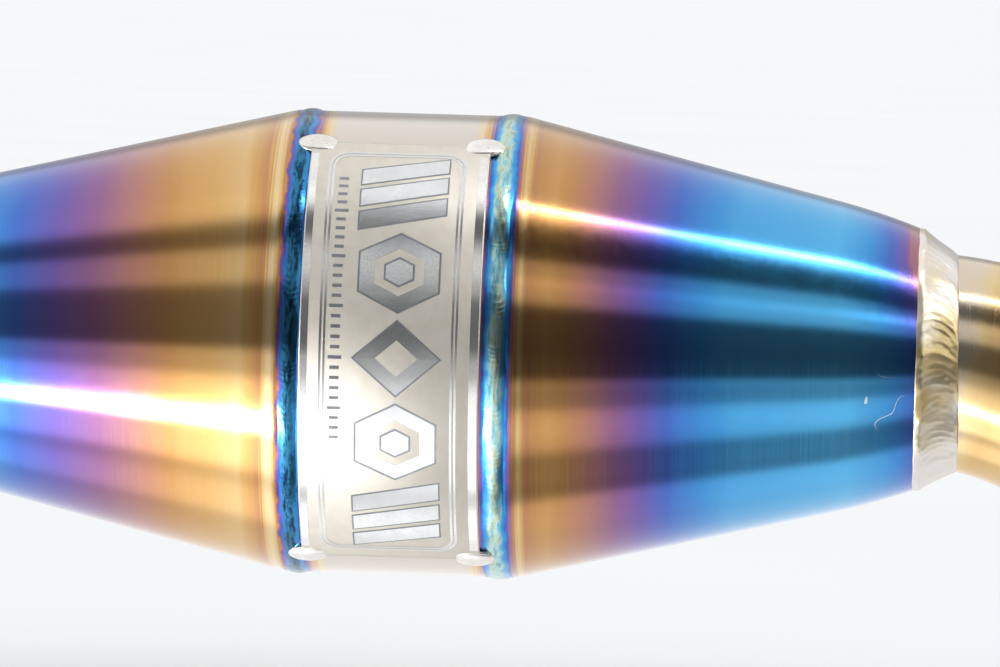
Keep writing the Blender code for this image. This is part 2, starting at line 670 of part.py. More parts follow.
def make_hanger(body, finish):
    """Folded bracket on the body's inner side (+Y) with a rubber-bushed sleeve."""
    inner = BODY_RADIUS + HANGER_LIFT
    outer = inner + HANGER_PLATE
    span = HANGER_HALF_SPAN
    leg = span - HANGER_PLATE
    seat = BODY_RADIUS + GAP

    def foot(z):
        return math.sqrt(seat * seat - z * z)

    outline = [(outer, -span), (foot(span), -span), (foot(leg), -leg), (inner, -leg),
               (inner, leg), (foot(leg), leg), (foot(span), span), (outer, span)]
    half = HANGER_WIDTH / 2
    bracket = add_piece("hanger_bracket", extruded(outline, -half, half), finish["straw"], body)

    bolt_axis = empty_at("hanger_axis", (0, 0, 0), body, (0, 0, math.pi / 2))
    cut(bracket, "hanger_hole", rod(inner - HANGER_PLATE, outer + HANGER_PLATE, GROMMET_HOLE, 24),
        bolt_axis)

    for side, name in ((1, "upper"), (-1, "lower")):
        near = span + GAP
        far = near + FOOT_FILLET
        bead = [(foot(near), side * near), (foot(far), side * far),
                (foot(near) + FOOT_FILLET * 0.45, side * (near + FOOT_FILLET * 0.3)),
                (foot(near) + FOOT_FILLET, side * near)]
        add_piece(f"hanger_weld_{name}", extruded(bead, -half, half), finish["weld"], body)

    groove = GROMMET_HOLE - GAP
    bore = SLEEVE_RADIUS + GAP
    rubber = [(inner - GAP, groove), (inner - GAP, GROMMET_FLANGE),
              (inner - GAP - GROMMET_LIP, GROMMET_FLANGE), (inner - GAP - GROMMET_LIP, bore),
              (outer + GAP + GROMMET_LIP, bore), (outer + GAP + GROMMET_LIP, GROMMET_FLANGE),
              (outer + GAP, GROMMET_FLANGE), (outer + GAP, groove)]
    add_piece("hanger_grommet", turned(rubber, 24), finish["rubber"], bolt_axis)

    face = outer + 2 * GAP + GROMMET_LIP
    end = inner - GAP - GROMMET_LIP
    top = face + SLEEVE_FLANGE_THICKNESS
    sleeve = [(end, SLEEVE_RADIUS), (face, SLEEVE_RADIUS), (face, SLEEVE_FLANGE),
              (top, SLEEVE_FLANGE), (top, SLEEVE_BORE), (end, SLEEVE_BORE)]
    add_piece("hanger_sleeve", turned(sleeve, 24), finish["fastener"], bolt_axis)


def main():
    clear_scene()
    finish = make_finishes()
    tail = PIPE_TAIL - SOCKET_OVERLAP + SOCKET_LENGTH
    mouth = elbow_place(ELBOW_ANGLE, tail).translation
    body = empty_at("body_axis", -mouth)
    joint = empty_at("inlet_joint", mouth, body, (0, ELBOW_ANGLE, 0))
    make_shells(body, finish)
    make_seam_welds(body, finish)
    make_ends(body, finish)
    make_inlet_pipe(body, finish)
    make_socket(joint, finish)
    make_clamp(joint, finish)
    make_outlet_tip(body, finish)
    make_baffle(body, finish)
    make_core(body, finish)
    make_badge(body, finish)
    make_hanger(body, finish)


main()
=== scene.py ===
import json
import math

import bmesh
import bpy
from mathutils import Matrix, Vector, noise


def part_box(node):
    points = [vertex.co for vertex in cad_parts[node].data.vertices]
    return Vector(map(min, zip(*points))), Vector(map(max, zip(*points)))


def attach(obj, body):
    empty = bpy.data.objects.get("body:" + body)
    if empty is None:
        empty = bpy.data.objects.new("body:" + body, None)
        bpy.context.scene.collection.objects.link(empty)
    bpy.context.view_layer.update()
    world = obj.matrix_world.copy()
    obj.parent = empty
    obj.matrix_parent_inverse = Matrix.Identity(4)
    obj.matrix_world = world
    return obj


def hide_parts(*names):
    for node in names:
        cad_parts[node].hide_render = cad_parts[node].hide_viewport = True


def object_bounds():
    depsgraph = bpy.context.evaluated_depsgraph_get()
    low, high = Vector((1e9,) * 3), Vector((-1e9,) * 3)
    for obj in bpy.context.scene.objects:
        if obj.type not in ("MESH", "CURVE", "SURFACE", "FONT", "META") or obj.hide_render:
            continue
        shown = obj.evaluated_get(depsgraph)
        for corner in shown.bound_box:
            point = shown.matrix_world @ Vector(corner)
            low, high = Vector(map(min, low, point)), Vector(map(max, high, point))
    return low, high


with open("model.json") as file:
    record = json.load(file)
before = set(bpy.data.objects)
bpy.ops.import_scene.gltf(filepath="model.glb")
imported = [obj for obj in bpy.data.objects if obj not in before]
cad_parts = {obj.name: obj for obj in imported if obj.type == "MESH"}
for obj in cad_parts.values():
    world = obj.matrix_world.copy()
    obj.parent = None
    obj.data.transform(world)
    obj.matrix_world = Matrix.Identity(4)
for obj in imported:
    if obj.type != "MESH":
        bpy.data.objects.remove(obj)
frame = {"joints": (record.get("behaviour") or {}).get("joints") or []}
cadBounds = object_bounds()

mm = 0.001
turn = 2 * math.pi

# The body's own frame has its origin at the middle of the band, X along the axis towards the inlet.
bandLow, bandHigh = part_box("centre_band")
bodyCentre = (bandLow + bandHigh) / 2
bodyPlace = Matrix.Translation(bodyCentre)

# The slip joint's frame has its origin at the mouth, X out along the socket.
jointAxes = {joint["name"]: Vector(joint["axis"]) for joint in frame["joints"]}
slipAxis = jointAxes["clamp_swivel"]
elbowAngle = math.atan2(-slipAxis.z, slipAxis.x)
jointPlace = Matrix.Rotation(elbowAngle, 4, "Y")


def linear(code):
    # sRGB hex to the linear values that the shaders work in
    channels = [int(code[i:i + 2], 16) / 255 for i in (1, 3, 5)]
    values = [c / 12.92 if c <= 0.04045 else ((c + 0.055) / 1.055) ** 2.4 for c in channels]
    return (*values, 1.0)


def addNode(tree, kind, inputs=None, stops=None, **settings):
    # one node with its settings, its links and, on a ramp, its stops
    node = tree.nodes.new("ShaderNode" + kind)
    for name, value in settings.items():
        setattr(node, name, value)
    if stops:
        elements = node.color_ramp.elements
        while len(elements) < len(stops):
            elements.new(1.0)
        for element, (position, colour) in zip(elements, stops):
            element.position = position
            element.color = colour
    for socket, value in (inputs or {}).items():
        if isinstance(value, bpy.types.Node):
            value = value.outputs[0]
        if isinstance(value, bpy.types.NodeSocket):
            tree.links.new(value, node.inputs[socket])
        else:
            node.inputs[socket].default_value = value
    return node


def newMaterial(name):
    material = bpy.data.materials.new(name)
    material.use_nodes = True
    tree = material.node_tree
    tree.nodes.clear()
    return material, tree


def finishMaterial(tree, shaderInputs):
    shader = addNode(tree, "BsdfPrincipled", shaderInputs)
    addNode(tree, "OutputMaterial", {"Surface": shader})


def loft(rings, closeAlong=False, closeAround=True, caps=False):
    # skin through equal rings; U runs from ring to ring and V round each one
    solid = bmesh.new()
    uvLayer = solid.loops.layers.uv.new("along")
    rows = [[solid.verts.new(point) for point in ring] for ring in rings]
    count = len(rows[0])
    rowSpan = len(rows) if closeAlong else len(rows) - 1
    sideSpan = count if closeAround else count - 1
    for i in range(rowSpan):
        near, far = rows[i], rows[(i + 1) % len(rows)]
        for j in range(sideSpan):
            k = (j + 1) % count
            face = solid.faces.new((near[j], near[k], far[k], far[j]))
            corners = ((i, j), (i, j + 1), (i + 1, j + 1), (i + 1, j))
            for loop, (row, side) in zip(face.loops, corners):
                loop[uvLayer].uv = (row / rowSpan, side / sideSpan)
    if caps:
        solid.faces.new(reversed(rows[0]))
        solid.faces.new(rows[-1])
    bmesh.ops.recalc_face_normals(solid, faces=solid.faces)
    return solid


def addPiece(name, solid, material, body, nodes=(), place=bodyPlace, sharpAngle=40):
    # turns a bmesh into an object that rides on its body and stands for its CAD nodes
    mesh = bpy.data.meshes.new(name)
    solid.to_mesh(mesh)
    solid.free()
    mesh.shade_smooth()
    mesh.set_sharp_from_angle(angle=math.radians(sharpAngle))
    mesh.materials.append(material)
    piece = bpy.data.objects.new(name, mesh)
    bpy.context.scene.collection.objects.link(piece)
    piece.matrix_world = place
    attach(piece, body)
    if nodes:
        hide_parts(*nodes)
    return piece


def ringAt(x, radius, sides, wave=None):
    # circle about X; angle 0 faces -Y and turns up towards +Z
    points = []
    for side in range(sides):
        angle = turn * side / sides
        reach = radius + (wave(x, angle) if wave else 0.0)
        points.append(Vector((x, -reach * math.cos(angle), reach * math.sin(angle))))
    return points


def turned(outline, sides, wave=None):
    return loft([ringAt(x, radius, sides, wave) for x, radius in outline], closeAlong=True)


def rounded(outline, radius, steps=3):
    # closed outline with each corner replaced by a small arc
    points = [Vector(point) for point in outline]
    result = []
    for i, corner in enumerate(points):
        before = (points[i - 1] - corner)
        after = (points[(i + 1) % len(points)] - corner)
        if before.length < 1e-7 or after.length < 1e-7:
            continue
        spread = before.angle(after)
        if spread > math.radians(150):
            result.append(tuple(corner))
            continue
        reach = min(radius / math.tan(spread / 2), before.length * 0.45, after.length * 0.45)
        start = corner + before.normalized() * reach
        end = corner + after.normalized() * reach
        for step in range(steps + 1):
            t = step / steps
            result.append(tuple(start.lerp(corner, t).lerp(corner.lerp(end, t), t)))
    return result


def smoothNoise(x, y, z, size):
    return noise.noise(Vector((x, y, z)) / size)


# The surroundings are a soft white room with pale cards and dark gaps, which the polished metal
# mirrors as bands along its length. Each card or gap has a middle angle, half a width and a
# brightness. Angles are degrees turned about X, from -Y up to +Z.
studio = {
    "inletSide": {"room": 1.0, "panels": [(82, 4, 1.3), (60, 12, 0.05), (38, 8, 0.6),
                                          (5, 22, 0.07), (-25, 8, 0.4), (-43, 10, 0.95), (-70, 15, 0.3)]},
    "outletSide": {"room": 1.1, "panels": [(62, 9, 0.2), (44, 8, 0.8), (15, 20, 0.2),
                                           (-12, 8, 0.9), (-35, 16, 2.0), (-62, 12, 2.8),
                                           (-79, 5, 1.3), (-95, 12, 1.8)]},
    "panelEdge": 5, "behind": 0.5, "behindAbove": (34, 20), "behindBelow": (10, 2),
    "lamps": [{"angle": -43.5, "width": 9, "from": -0.25, "to": -0.5, "strength": 34.0},
              {"angle": 80, "width": 2.6, "from": 0.02, "to": 0.3, "strength": 20.0},
              {"angle": 40, "width": 7, "from": 0.46, "to": 0.62, "strength": 3.0}],
    "roomStrength": 1.02, "horizonStrength": 0.935,
}


def angleShare(tree, angle, middle, none, full):
    # 0 to 1 by how far an angle is from the middle one, in degrees
    off = addNode(tree, "Math", {0: angle, 1: math.radians(middle)}, operation="SUBTRACT")
    off = addNode(tree, "Math", {0: off}, operation="ABSOLUTE")
    share = addNode(tree, "MapRange", {"Value": off, "From Min": math.radians(none),
                                       "From Max": math.radians(full)}, interpolation_type="SMOOTHSTEP")
    return share.outputs[0]


def buildWorld():
    world = bpy.data.worlds.new("studioCove")
    bpy.context.scene.world = world
    world.use_nodes = True
    tree = world.node_tree
    tree.nodes.clear()
    direction = addNode(tree, "TexCoord").outputs["Generated"]
    parts = addNode(tree, "SeparateXYZ", {0: direction})
    ahead = addNode(tree, "Math", {0: parts.outputs["Y"], 1: -1.0}, operation="MULTIPLY")
    angle = addNode(tree, "Math", {0: parts.outputs["Z"], 1: ahead}, operation="ARCTAN2")
    strips = []
    for side in ("inletSide", "outletSide"):
        level = studio[side]["room"]
        for middle, half, brightness in studio[side]["panels"]:
            share = angleShare(tree, angle, middle, half + studio["panelEdge"], half - studio["panelEdge"])
            level = addNode(tree, "Mix", {"Factor": share, "A": level, "B": brightness})
        # the room's far side is dimmer, which leaves a thin grey edge along the top
        for middle, reach in ((180, "behindAbove"), (-180, "behindBelow")):
            share = angleShare(tree, angle, middle, *studio[reach])
            level = addNode(tree, "Mix", {"Factor": share, "A": level, "B": studio["behind"]})
        strips.append(level)
    towardsOutlet = addNode(tree, "MapRange",
                            {"Value": parts.outputs["X"], "From Min": 0.35, "From Max": -0.45},
                            interpolation_type="SMOOTHSTEP")
    strength = addNode(tree, "Mix", {"Factor": towardsOutlet, "A": strips[0], "B": strips[1]})
    # small strong lamps: the key low on the outlet side and two thin ones on the inlet side
    for lamp in studio["lamps"]:
        glow = angleShare(tree, angle, lamp["angle"], lamp["width"] * 0.8, lamp["width"] * 0.2)
        side = addNode(tree, "MapRange", {"Value": parts.outputs["X"], "From Min": lamp["from"],
                                          "From Max": lamp["to"], "To Max": lamp["strength"]},
                       interpolation_type="SMOOTHSTEP")
        strength = addNode(tree, "Math", {0: glow, 1: side, 2: strength}, operation="MULTIPLY_ADD")
    # matt surfaces get an even white instead, and past the floor's edge the eye sees the
    # floor's own brightness, so that no horizon shows
    path = addNode(tree, "LightPath")
    mirrored = addNode(tree, "Mix", {"Factor": path.outputs["Is Glossy Ray"], "A": studio["roomStrength"],
                                     "B": strength})
    seen = addNode(tree, "Mix", {"Factor": path.outputs["Is Camera Ray"], "A": mirrored,
                                 "B": studio["horizonStrength"]})
    background = addNode(tree, "Background", {"Color": (1.0, 1.0, 1.0, 1.0), "Strength": seen})
    addNode(tree, "OutputWorld", {"Surface": background})


camera = {
    "lens": 300, "distance": 1.988, "azimuth": 3.0, "elevation": 2.6, "roll": 1.62,
    "aim": (22.2 * mm, 0, 3.1 * mm),
}


def buildCamera():
    data = bpy.data.cameras.new("studioCamera")
    data.lens = camera["lens"]
    data.sensor_width = 36
    data.clip_end = 500
    item = bpy.data.objects.new("studioCamera", data)
    bpy.context.scene.collection.objects.link(item)
    azimuth, elevation = math.radians(camera["azimuth"]), math.radians(camera["elevation"])
    aim = bodyCentre + Vector(camera["aim"])
    away = Vector((math.sin(azimuth) * math.cos(elevation),
                   -math.cos(azimuth) * math.cos(elevation), math.sin(elevation)))
    item.location = aim + away * camera["distance"]
    look = away.to_track_quat("Z", "Y").to_matrix().to_4x4()
    roll = Matrix.Rotation(math.radians(camera["roll"]), 4, "Z")
    item.matrix_world = Matrix.Translation(item.location) @ look @ roll
    bpy.context.scene.camera = item


def buildFloor():
    material, tree = newMaterial("paleStudioFloor")
    place = addNode(tree, "TexCoord").outputs["Object"]
    grain = addNode(tree, "TexNoise", {"Vector": place, "Scale": 3.0, "Detail": 3.0})
    colour = addNode(tree, "ValToRGB", {0: grain}, [(0.3, linear("#f3f5f7")), (0.7, linear("#f5f7f9"))])
    finishMaterial(tree, {"Base Color": colour, "Roughness": 1.0, "IOR": 1.0})
    reach = 100.0
    solid = bmesh.new()
    corners = [(-reach, -reach), (reach, -reach), (reach, reach), (-reach, reach)]
    solid.faces.new([solid.verts.new((x, y, 0)) for x, y in corners])
    mesh = bpy.data.meshes.new("studioFloor")
    solid.to_mesh(mesh)
    solid.free()
    mesh.materials.append(material)
    floor = bpy.data.objects.new("studioFloor", mesh)
    floor.location = (bodyCentre.x, 0, cadBounds[0][2] - 0.5 * mm)
    floor.visible_glossy = False
    bpy.context.scene.collection.objects.link(floor)


buildWorld()
buildCamera()
buildFloor()
bpy.context.scene.view_settings.view_transform = "Standard"
print("light, floor and camera are in")


# Titanium heated in air grows an oxide film: pale straw, gold, bronze, purple, indigo, azure
# and then a pale icy blue as it thickens. Every tinted piece takes its colour from this scale.
temperScale = [(0.0, "#d4c9c0"), (0.1, "#e0c898"), (0.25, "#cca060"), (0.35, "#bd8a52"),
               (0.45, "#b07a68"), (0.55, "#8e5e88"), (0.65, "#6a58a8"), (0.75, "#4068c0"),
               (0.85, "#3a90d4"), (0.95, "#54b0e4"), (1.0, "#78c4e8")]

body = {
    "radius": 55.0 * mm, "seamAt": 24.0 * mm, "cornerAt": 27.5 * mm, "wall": 1.2 * mm,
    "coneLength": 94.0 * mm, "crownLength": 19.0 * mm, "crownTurn": 7.0,
    "coneEndRadius": 31.25 * mm, "sides": 192, "unevenness": 0.06 * mm,
}
coneEndX = body["cornerAt"] + body["coneLength"]

# film thickness on the temper scale, by distance in mm outwards from the seam's centre line
bandTint = [(-24, 0.0), (-8, 0.0), (-6, 0.1), (-4.5, 0.25), (-3.5, 0.55), (-2.5, 0.85), (3, 0.95)]
outletTint = [(-3, 0.85), (1, 0.9), (2, 0.7), (3, 0.35), (4.5, 0.1), (6, 0.2), (7, 0.4),
              (8, 0.33), (12, 0.2), (25, 0.3), (35, 0.45), (50, 0.6), (70, 0.8), (85, 0.85),
              (92, 0.6), (97, 0.4)]
inletTint = [(-3, 0.65), (-1.5, 0.9), (1, 0.97), (2, 0.9), (3, 0.75), (4, 0.45), (5, 0.15),
             (6, 0.2), (7, 0.4), (8, 0.35), (12, 0.3), (20, 0.45), (30, 0.6), (40, 0.75),
             (55, 0.9), (80, 0.95), (88, 0.87), (95, 0.74), (99, 0.65), (100.5, 0.5)]


def temperColour(tree, film):
    stops = [(position, linear(code)) for position, code in temperScale]
    return addNode(tree, "ValToRGB", {0: film}, stops)


brush = {   # the pitch is a little coarse, so that the lines show
    "pitch": 0.35 * mm, "reach": 110 * mm, "anisotropy": 0.95, "depth": 0.02 * mm,
    "coatRoughness": 0.13,
}


def brushLines(tree, place, pitch=brush["pitch"]):
    # fine lines round the circumference, each one running out after some centimetres
    stretch = addNode(tree, "VectorMath",
                      {0: place, 1: (1 / pitch, 1 / brush["reach"], 1 / brush["reach"])},
                      operation="MULTIPLY")
    return addNode(tree, "TexNoise", {"Vector": stretch, "Scale": 1.0, "Detail": 4.0, "Roughness": 0.65})


def finishBrushed(tree, colour, lines, roughness, depth=0.1, coat=0.0):
    # the brushing draws each reflection out along the axis and keeps it sharp round it; the
    # oxide film's own clear face adds colourless glints
    rough = addNode(tree, "MapRange", {"Value": lines, "From Min": 0.3, "From Max": 0.7,
                                       "To Min": roughness * 0.82, "To Max": roughness * 1.18})
    bump = addNode(tree, "Bump", {"Height": lines, "Strength": depth, "Distance": brush["depth"]})
    tangent = addNode(tree, "Tangent", direction_type="UV_MAP", uv_map="along")
    finishMaterial(tree, {"Base Color": colour, "Metallic": 1.0,
                          "Roughness": rough, "Anisotropic": brush["anisotropy"],
                          "Coat Weight": coat, "Coat Roughness": brush["coatRoughness"],
                          "Normal": bump, "Tangent": tangent})


torch = {
    "wander": 14 * mm, "wanderAtSeam": 1.2 * mm, "wanderSize": 55 * mm, "lean": 2.5 * mm,
    "lineShift": 0.7 * mm, "endMiddle": -2.0 * mm, "endTop": 5.0 * mm,
    "scratchAt": (112.5 * mm, -34 * mm, -9 * mm), "scratchReach": 8 * mm,
    "scratchSize": 15 * mm, "scratchLevel": 0.52, "scratchHair": 0.0022,
}


def brushedTitanium(name, tint, roughness):
    # Grade 2 titanium sheet, brushed round the body and then torched: the brushing draws each
    # reflection out along the axis and the oxide film gives saturated bands of colour.
    material, tree = newMaterial(name)
    place = addNode(tree, "TexCoord").outputs["Object"]
    parts = addNode(tree, "SeparateXYZ", {0: place})
    along = addNode(tree, "Math", {0: parts.outputs["X"]}, operation="ABSOLUTE")

    # the flame never kept an even distance, so the bands lean and wander a few millimetres
    drift = addNode(tree, "TexNoise", {"Vector": place, "Scale": 1 / torch["wanderSize"], "Detail": 2.0,
                                       "Roughness": 0.4})
    driftSize = addNode(tree, "MapRange", {"Value": along, "From Min": body["cornerAt"] + 1 * mm,
                                           "From Max": body["cornerAt"] + 30 * mm,
                                           "To Min": torch["wanderAtSeam"], "To Max": torch["wander"]})
    offset = addNode(tree, "Math", {0: drift, 1: 0.5}, operation="SUBTRACT")
    moved = addNode(tree, "Math", {0: offset, 1: driftSize, 2: along}, operation="MULTIPLY_ADD")
    leanHere = addNode(tree, "MapRange",
                       {"Value": parts.outputs["Z"], "From Min": 10 * mm, "From Max": 50 * mm,
                        "To Max": torch["lean"]})
    leanFade = addNode(tree, "MapRange", {"Value": along, "From Min": body["cornerAt"] + 2 * mm,
                                          "From Max": body["cornerAt"] + 22 * mm})
    leaned = addNode(tree, "Math", {0: leanHere, 1: leanFade}, operation="MULTIPLY")
    moved = addNode(tree, "Math", {0: moved, 1: leaned}, operation="SUBTRACT")

    # at the inlet's end the top stayed cooler, which leaves a broad violet patch there
    endFade = addNode(tree, "MapRange", {"Value": parts.outputs["X"], "From Min": coneEndX - 26 * mm,
                                         "From Max": coneEndX - 4 * mm})
    endShift = addNode(tree, "MapRange",
                       {"Value": parts.outputs["Z"], "From Min": 6 * mm, "From Max": 24 * mm,
                        "To Min": torch["endMiddle"], "To Max": torch["endTop"]})
    moved = addNode(tree, "Math", {0: endFade, 1: endShift, 2: moved}, operation="MULTIPLY_ADD")

    lines = brushLines(tree, place)
    lineTint = addNode(tree, "MapRange", {"Value": lines, "From Min": 0.25, "From Max": 0.75,
                                          "To Min": -torch["lineShift"], "To Max": torch["lineShift"]})
    moved = addNode(tree, "Math", {0: moved, 1: lineTint}, operation="ADD")
    first, last = tint[0][0], tint[-1][0]
    spot = addNode(tree, "MapRange", {"Value": moved, "From Min": body["seamAt"] + first * mm,
                                      "From Max": body["seamAt"] + last * mm})
    stops = [((d - first) / (last - first), (film, film, film, 1)) for d, film in tint]
    film = addNode(tree, "ValToRGB", {0: spot}, stops)
    colour = temperColour(tree, film)

    # a few hair-thin scratches show bare metal near the inlet
    far = addNode(tree, "VectorMath", {0: place, 1: torch["scratchAt"]}, operation="DISTANCE")
    curl = addNode(tree, "TexNoise", {"Vector": place, "Scale": 1 / torch["scratchSize"], "Detail": 1.0})
    offCurl = addNode(tree, "Math", {0: curl, 1: torch["scratchLevel"], 2: torch["scratchHair"]},
                      operation="COMPARE")
    near = addNode(tree, "MapRange", {"Value": far.outputs["Value"], "From Min": torch["scratchReach"],
                                      "From Max": torch["scratchReach"] * 0.6, "To Max": 0.8})
    scratch = addNode(tree, "Math", {0: offCurl, 1: near}, operation="MULTIPLY")
    colour = addNode(tree, "Mix", {"Factor": scratch, 6: colour, 7: linear("#f2eee6")}, data_type="RGBA")
    finishBrushed(tree, colour.outputs[2], lines, roughness, coat=0.45)
    return material


def crownedConeAngle():
    # half angle of the straight stretch, so that the crown ends on the end radius
    drop = body["radius"] - body["coneEndRadius"]
    crownTurn = math.radians(body["crownTurn"])
    low, high = 0.0, 1.0
    for _ in range(50):
        middle = (low + high) / 2
        reached = (body["coneLength"] - body["crownLength"]) * math.tan(middle)
        reached += body["crownLength"] * math.tan(middle + crownTurn / 2)
        low, high = (middle, high) if reached < drop else (low, middle)
    return low


coneAngle = crownedConeAngle()


def shellRadius(x):
    x = abs(x)
    crownStart = coneEndX - body["crownLength"]
    if x <= body["cornerAt"]:
        return body["radius"]
    if x <= crownStart:
        return body["radius"] - (x - body["cornerAt"]) * math.tan(coneAngle)
    crownTurn = math.radians(body["crownTurn"])
    bend = body["crownLength"] / (math.sin(coneAngle + crownTurn) - math.sin(coneAngle))
    slope = math.asin(min(1.0, math.sin(coneAngle) + (x - crownStart) / bend))
    straight = body["radius"] - (crownStart - body["cornerAt"]) * math.tan(coneAngle)
    return straight - (x - crownStart) * math.tan((coneAngle + slope) / 2)


def softRadius(x, soft=1.2 * mm):
    # the pressed corner between band and cone has a small bend radius
    near = abs(abs(x) - body["cornerAt"])
    if near > soft:
        return shellRadius(x)
    samples = [shellRadius(abs(x) + soft * (step / 6 - 1) * 0.6) for step in range(13)]
    return sum(samples) / len(samples)


def handWork(x, angle):
    # the rolled sheet isn't a perfect cone; it waves by a few hundredths of a millimetre
    around = Vector((math.cos(angle), math.sin(angle))) * 2.4
    return body["unevenness"] * noise.noise(Vector((x * 14, around.x, around.y)))


def buildShells(finishes):
    start = body["cornerAt"] - 1.9 * mm
    stations = [start, start + 0.8 * mm]
    stations += [body["cornerAt"] + 0.2 * mm * step for step in range(-6, 7)]
    stations += [body["cornerAt"] + 2 * mm * step for step in range(1, 47)]
    stations.append(coneEndX)
    for side, name in ((1, "inlet"), (-1, "outlet")):
        outer = [(side * x, softRadius(x)) for x in stations]
        inner = [(side * x, shellRadius(x) - body["wall"] * 1.02)
                 for x in reversed(stations[::6] + [coneEndX])]
        addPiece(name + "ConeShell", turned(outer + inner, body["sides"], handWork),
                 finishes[name + "Cone"], "muffler", [name + "_cone"])
    half = body["seamAt"] - 1.6 * mm
    bore = body["radius"] - body["wall"]
    outer = [(-half + 2 * half * step / 24, body["radius"]) for step in range(25)]
    addPiece("centreBandShell", turned(outer + [(half, bore), (-half, bore)], body["sides"], handWork),
             finishes["band"], "muffler", ["centre_band"])


# Electric-arc welds without filler: a coin-stack of fine crescents, one for each pulse.
seamWeld = {
    "halfWidth": 3.2 * mm, "beadHalfWidth": 2.3 * mm, "rise": 0.5 * mm,
    "pitch": 1.5 * mm, "crescent": 0.022 * mm, "bow": 0.9, "roughGrain": 0.035 * mm,
    "skin": 0.03 * mm, "stepsPerCrescent": 7, "stepsAcross": 26,
}


def crescentWave(phase):
    # one pulse of the weld pool: it swells slowly and ends in a short step
    part = phase % 1.0
    return 0.5 - 0.5 * math.cos(turn * part ** 1.7)


def seamHeight(across, run, seed):
    # height over the shell at a place `across` the seam and `run` metres along it
    edge = seamWeld["beadHalfWidth"] * (1 + 0.2 * smoothNoise(run, seed, 0, 8 * mm))
    middle = 0.25 * mm * smoothNoise(run, 0, seed, 12 * mm)
    u = (across - middle) / edge
    if abs(u) >= 1:
        return seamWeld["skin"]
    crown = seamWeld["rise"] * (1 - u * u) ** 0.9
    wander = 1.3 * smoothNoise(run, seed, 3, 5 * mm)
    wave = crescentWave(run / seamWeld["pitch"] + seamWeld["bow"] * (1 - u * u) + wander)
    # stretches of clear ripples come and go between smoother and lumpier ones
    vigour = 0.55 + 0.9 * smoothNoise(run, 7, seed, 9 * mm)
    grain = smoothNoise(run * 0.4, across * 1.5, seed, 1.1 * mm)
    fade = min(1.0, 2.2 * (1 - abs(u)))
    return seamWeld["skin"] + crown + fade * (seamWeld["crescent"] * vigour * wave
                                              + seamWeld["roughGrain"] * grain)


def closedWeld(height, angle, overlap=0.12):
    # the weld runs once round from the back; its end melts over its start
    angle = (angle + math.pi) % turn - math.pi
    share = min(1.0, (math.pi - angle) / overlap)
    if share == 1.0:
        return height(angle)
    return share * height(angle) + (1 - share) * height(angle - turn)


def buildSeamWelds(finishes):
    sides = int(turn * body["radius"] / seamWeld["pitch"] * seamWeld["stepsPerCrescent"])
    count = seamWeld["stepsAcross"]
    for side, name in ((1, "inlet"), (-1, "outlet")):
        rings = []
        for step in range(count + 1):
            across = seamWeld["halfWidth"] * (2 * step / count - 1)
            x = side * (body["seamAt"] + across)

            def wave(_, angle):
                height = closedWeld(lambda a: seamHeight(across, a * body["radius"], 10 + side), angle)
                return height + handWork(x, angle)
            rings.append(ringAt(x, softRadius(x), sides, wave))
        low = body["radius"] - 0.5 * mm
        for x in (rings[-1][0].x, rings[0][0].x):
            rings.append(ringAt(x, low, sides))
        addPiece(name + "SeamRing", loft(rings, closeAlong=True), finishes[name + "Seam"],
                 "muffler", [name + "_seam_weld"], sharpAngle=75)


def buildLongSeams(material):
    # the rolled sheets' own joints, on the side away from the badge
    seamAngle = math.radians(-150)
    spans = {"inlet_cone_seam": (body["cornerAt"] - 0.8 * mm, coneEndX - 0.4 * mm),
             "band_seam": (-body["seamAt"] + 2.2 * mm, body["seamAt"] - 2.2 * mm),
             "outlet_cone_seam": (-coneEndX + 0.4 * mm, -body["cornerAt"] + 0.8 * mm)}
    for name, (start, end) in spans.items():
        count = int((end - start) / seamWeld["pitch"] * seamWeld["stepsPerCrescent"])
        rings = []
        for step in range(count + 1):
            x = start + (end - start) * step / count
            radius = softRadius(x)
            ring = []
            for k in range(15):
                across = (k / 7 - 1) * 1.9 * mm
                height = 0.75 * seamHeight(across * 1.2, x, 20)
                angle = seamAngle + across / radius
                reach = radius + height - (0.4 * mm if k in (0, 14) else 0)
                ring.append(Vector((x, -reach * math.cos(angle), reach * math.sin(angle))))
            rings.append(ring)
        addPiece(name.replace("_s", "S").replace("_c", "C") + "Bead",
                 loft(rings, closeAround=True, caps=True), material, "muffler",
                 [name], sharpAngle=75)


fillet = {
    "length": 10.0 * mm, "pitch": 2.4 * mm, "crescent": 0.085 * mm, "bow": 1.4,
    "bigStep": 0.3 * mm, "bigPitch": 10 * mm, "swell": 0.6 * mm, "grain": 0.06 * mm,
    "lean": 2.6, "sides": 900, "across": 26,
}
pipe = {"radius": 25.5 * mm, "wall": 1.2 * mm, "bendRadius": 76.5 * mm, "tail": 22 * mm}


def elbowPlace(angle, beyond=0.0):
    # frame at an angle along the bend, then straight on
    place = Matrix.Translation((coneEndX, 0, -pipe["bendRadius"]))
    return (place @ Matrix.Rotation(angle, 4, "Y") @ Matrix.Translation((beyond, 0, pipe["bendRadius"])))


def filletRadius(t):
    # from a short shoulder at the cone's end down a hollow face to the pipe
    high, low = body["coneEndRadius"] + 0.05 * mm, pipe["radius"] + 0.2 * mm
    shoulder = min(1.0, t / 0.2)
    drop = max(0.0, (t - 0.14) / 0.86)
    hollow = 0.10 * math.sin(math.pi * drop)
    return low + (high - low) * (1 - 0.03 * shoulder) * (1 - drop) * (1 - hollow)


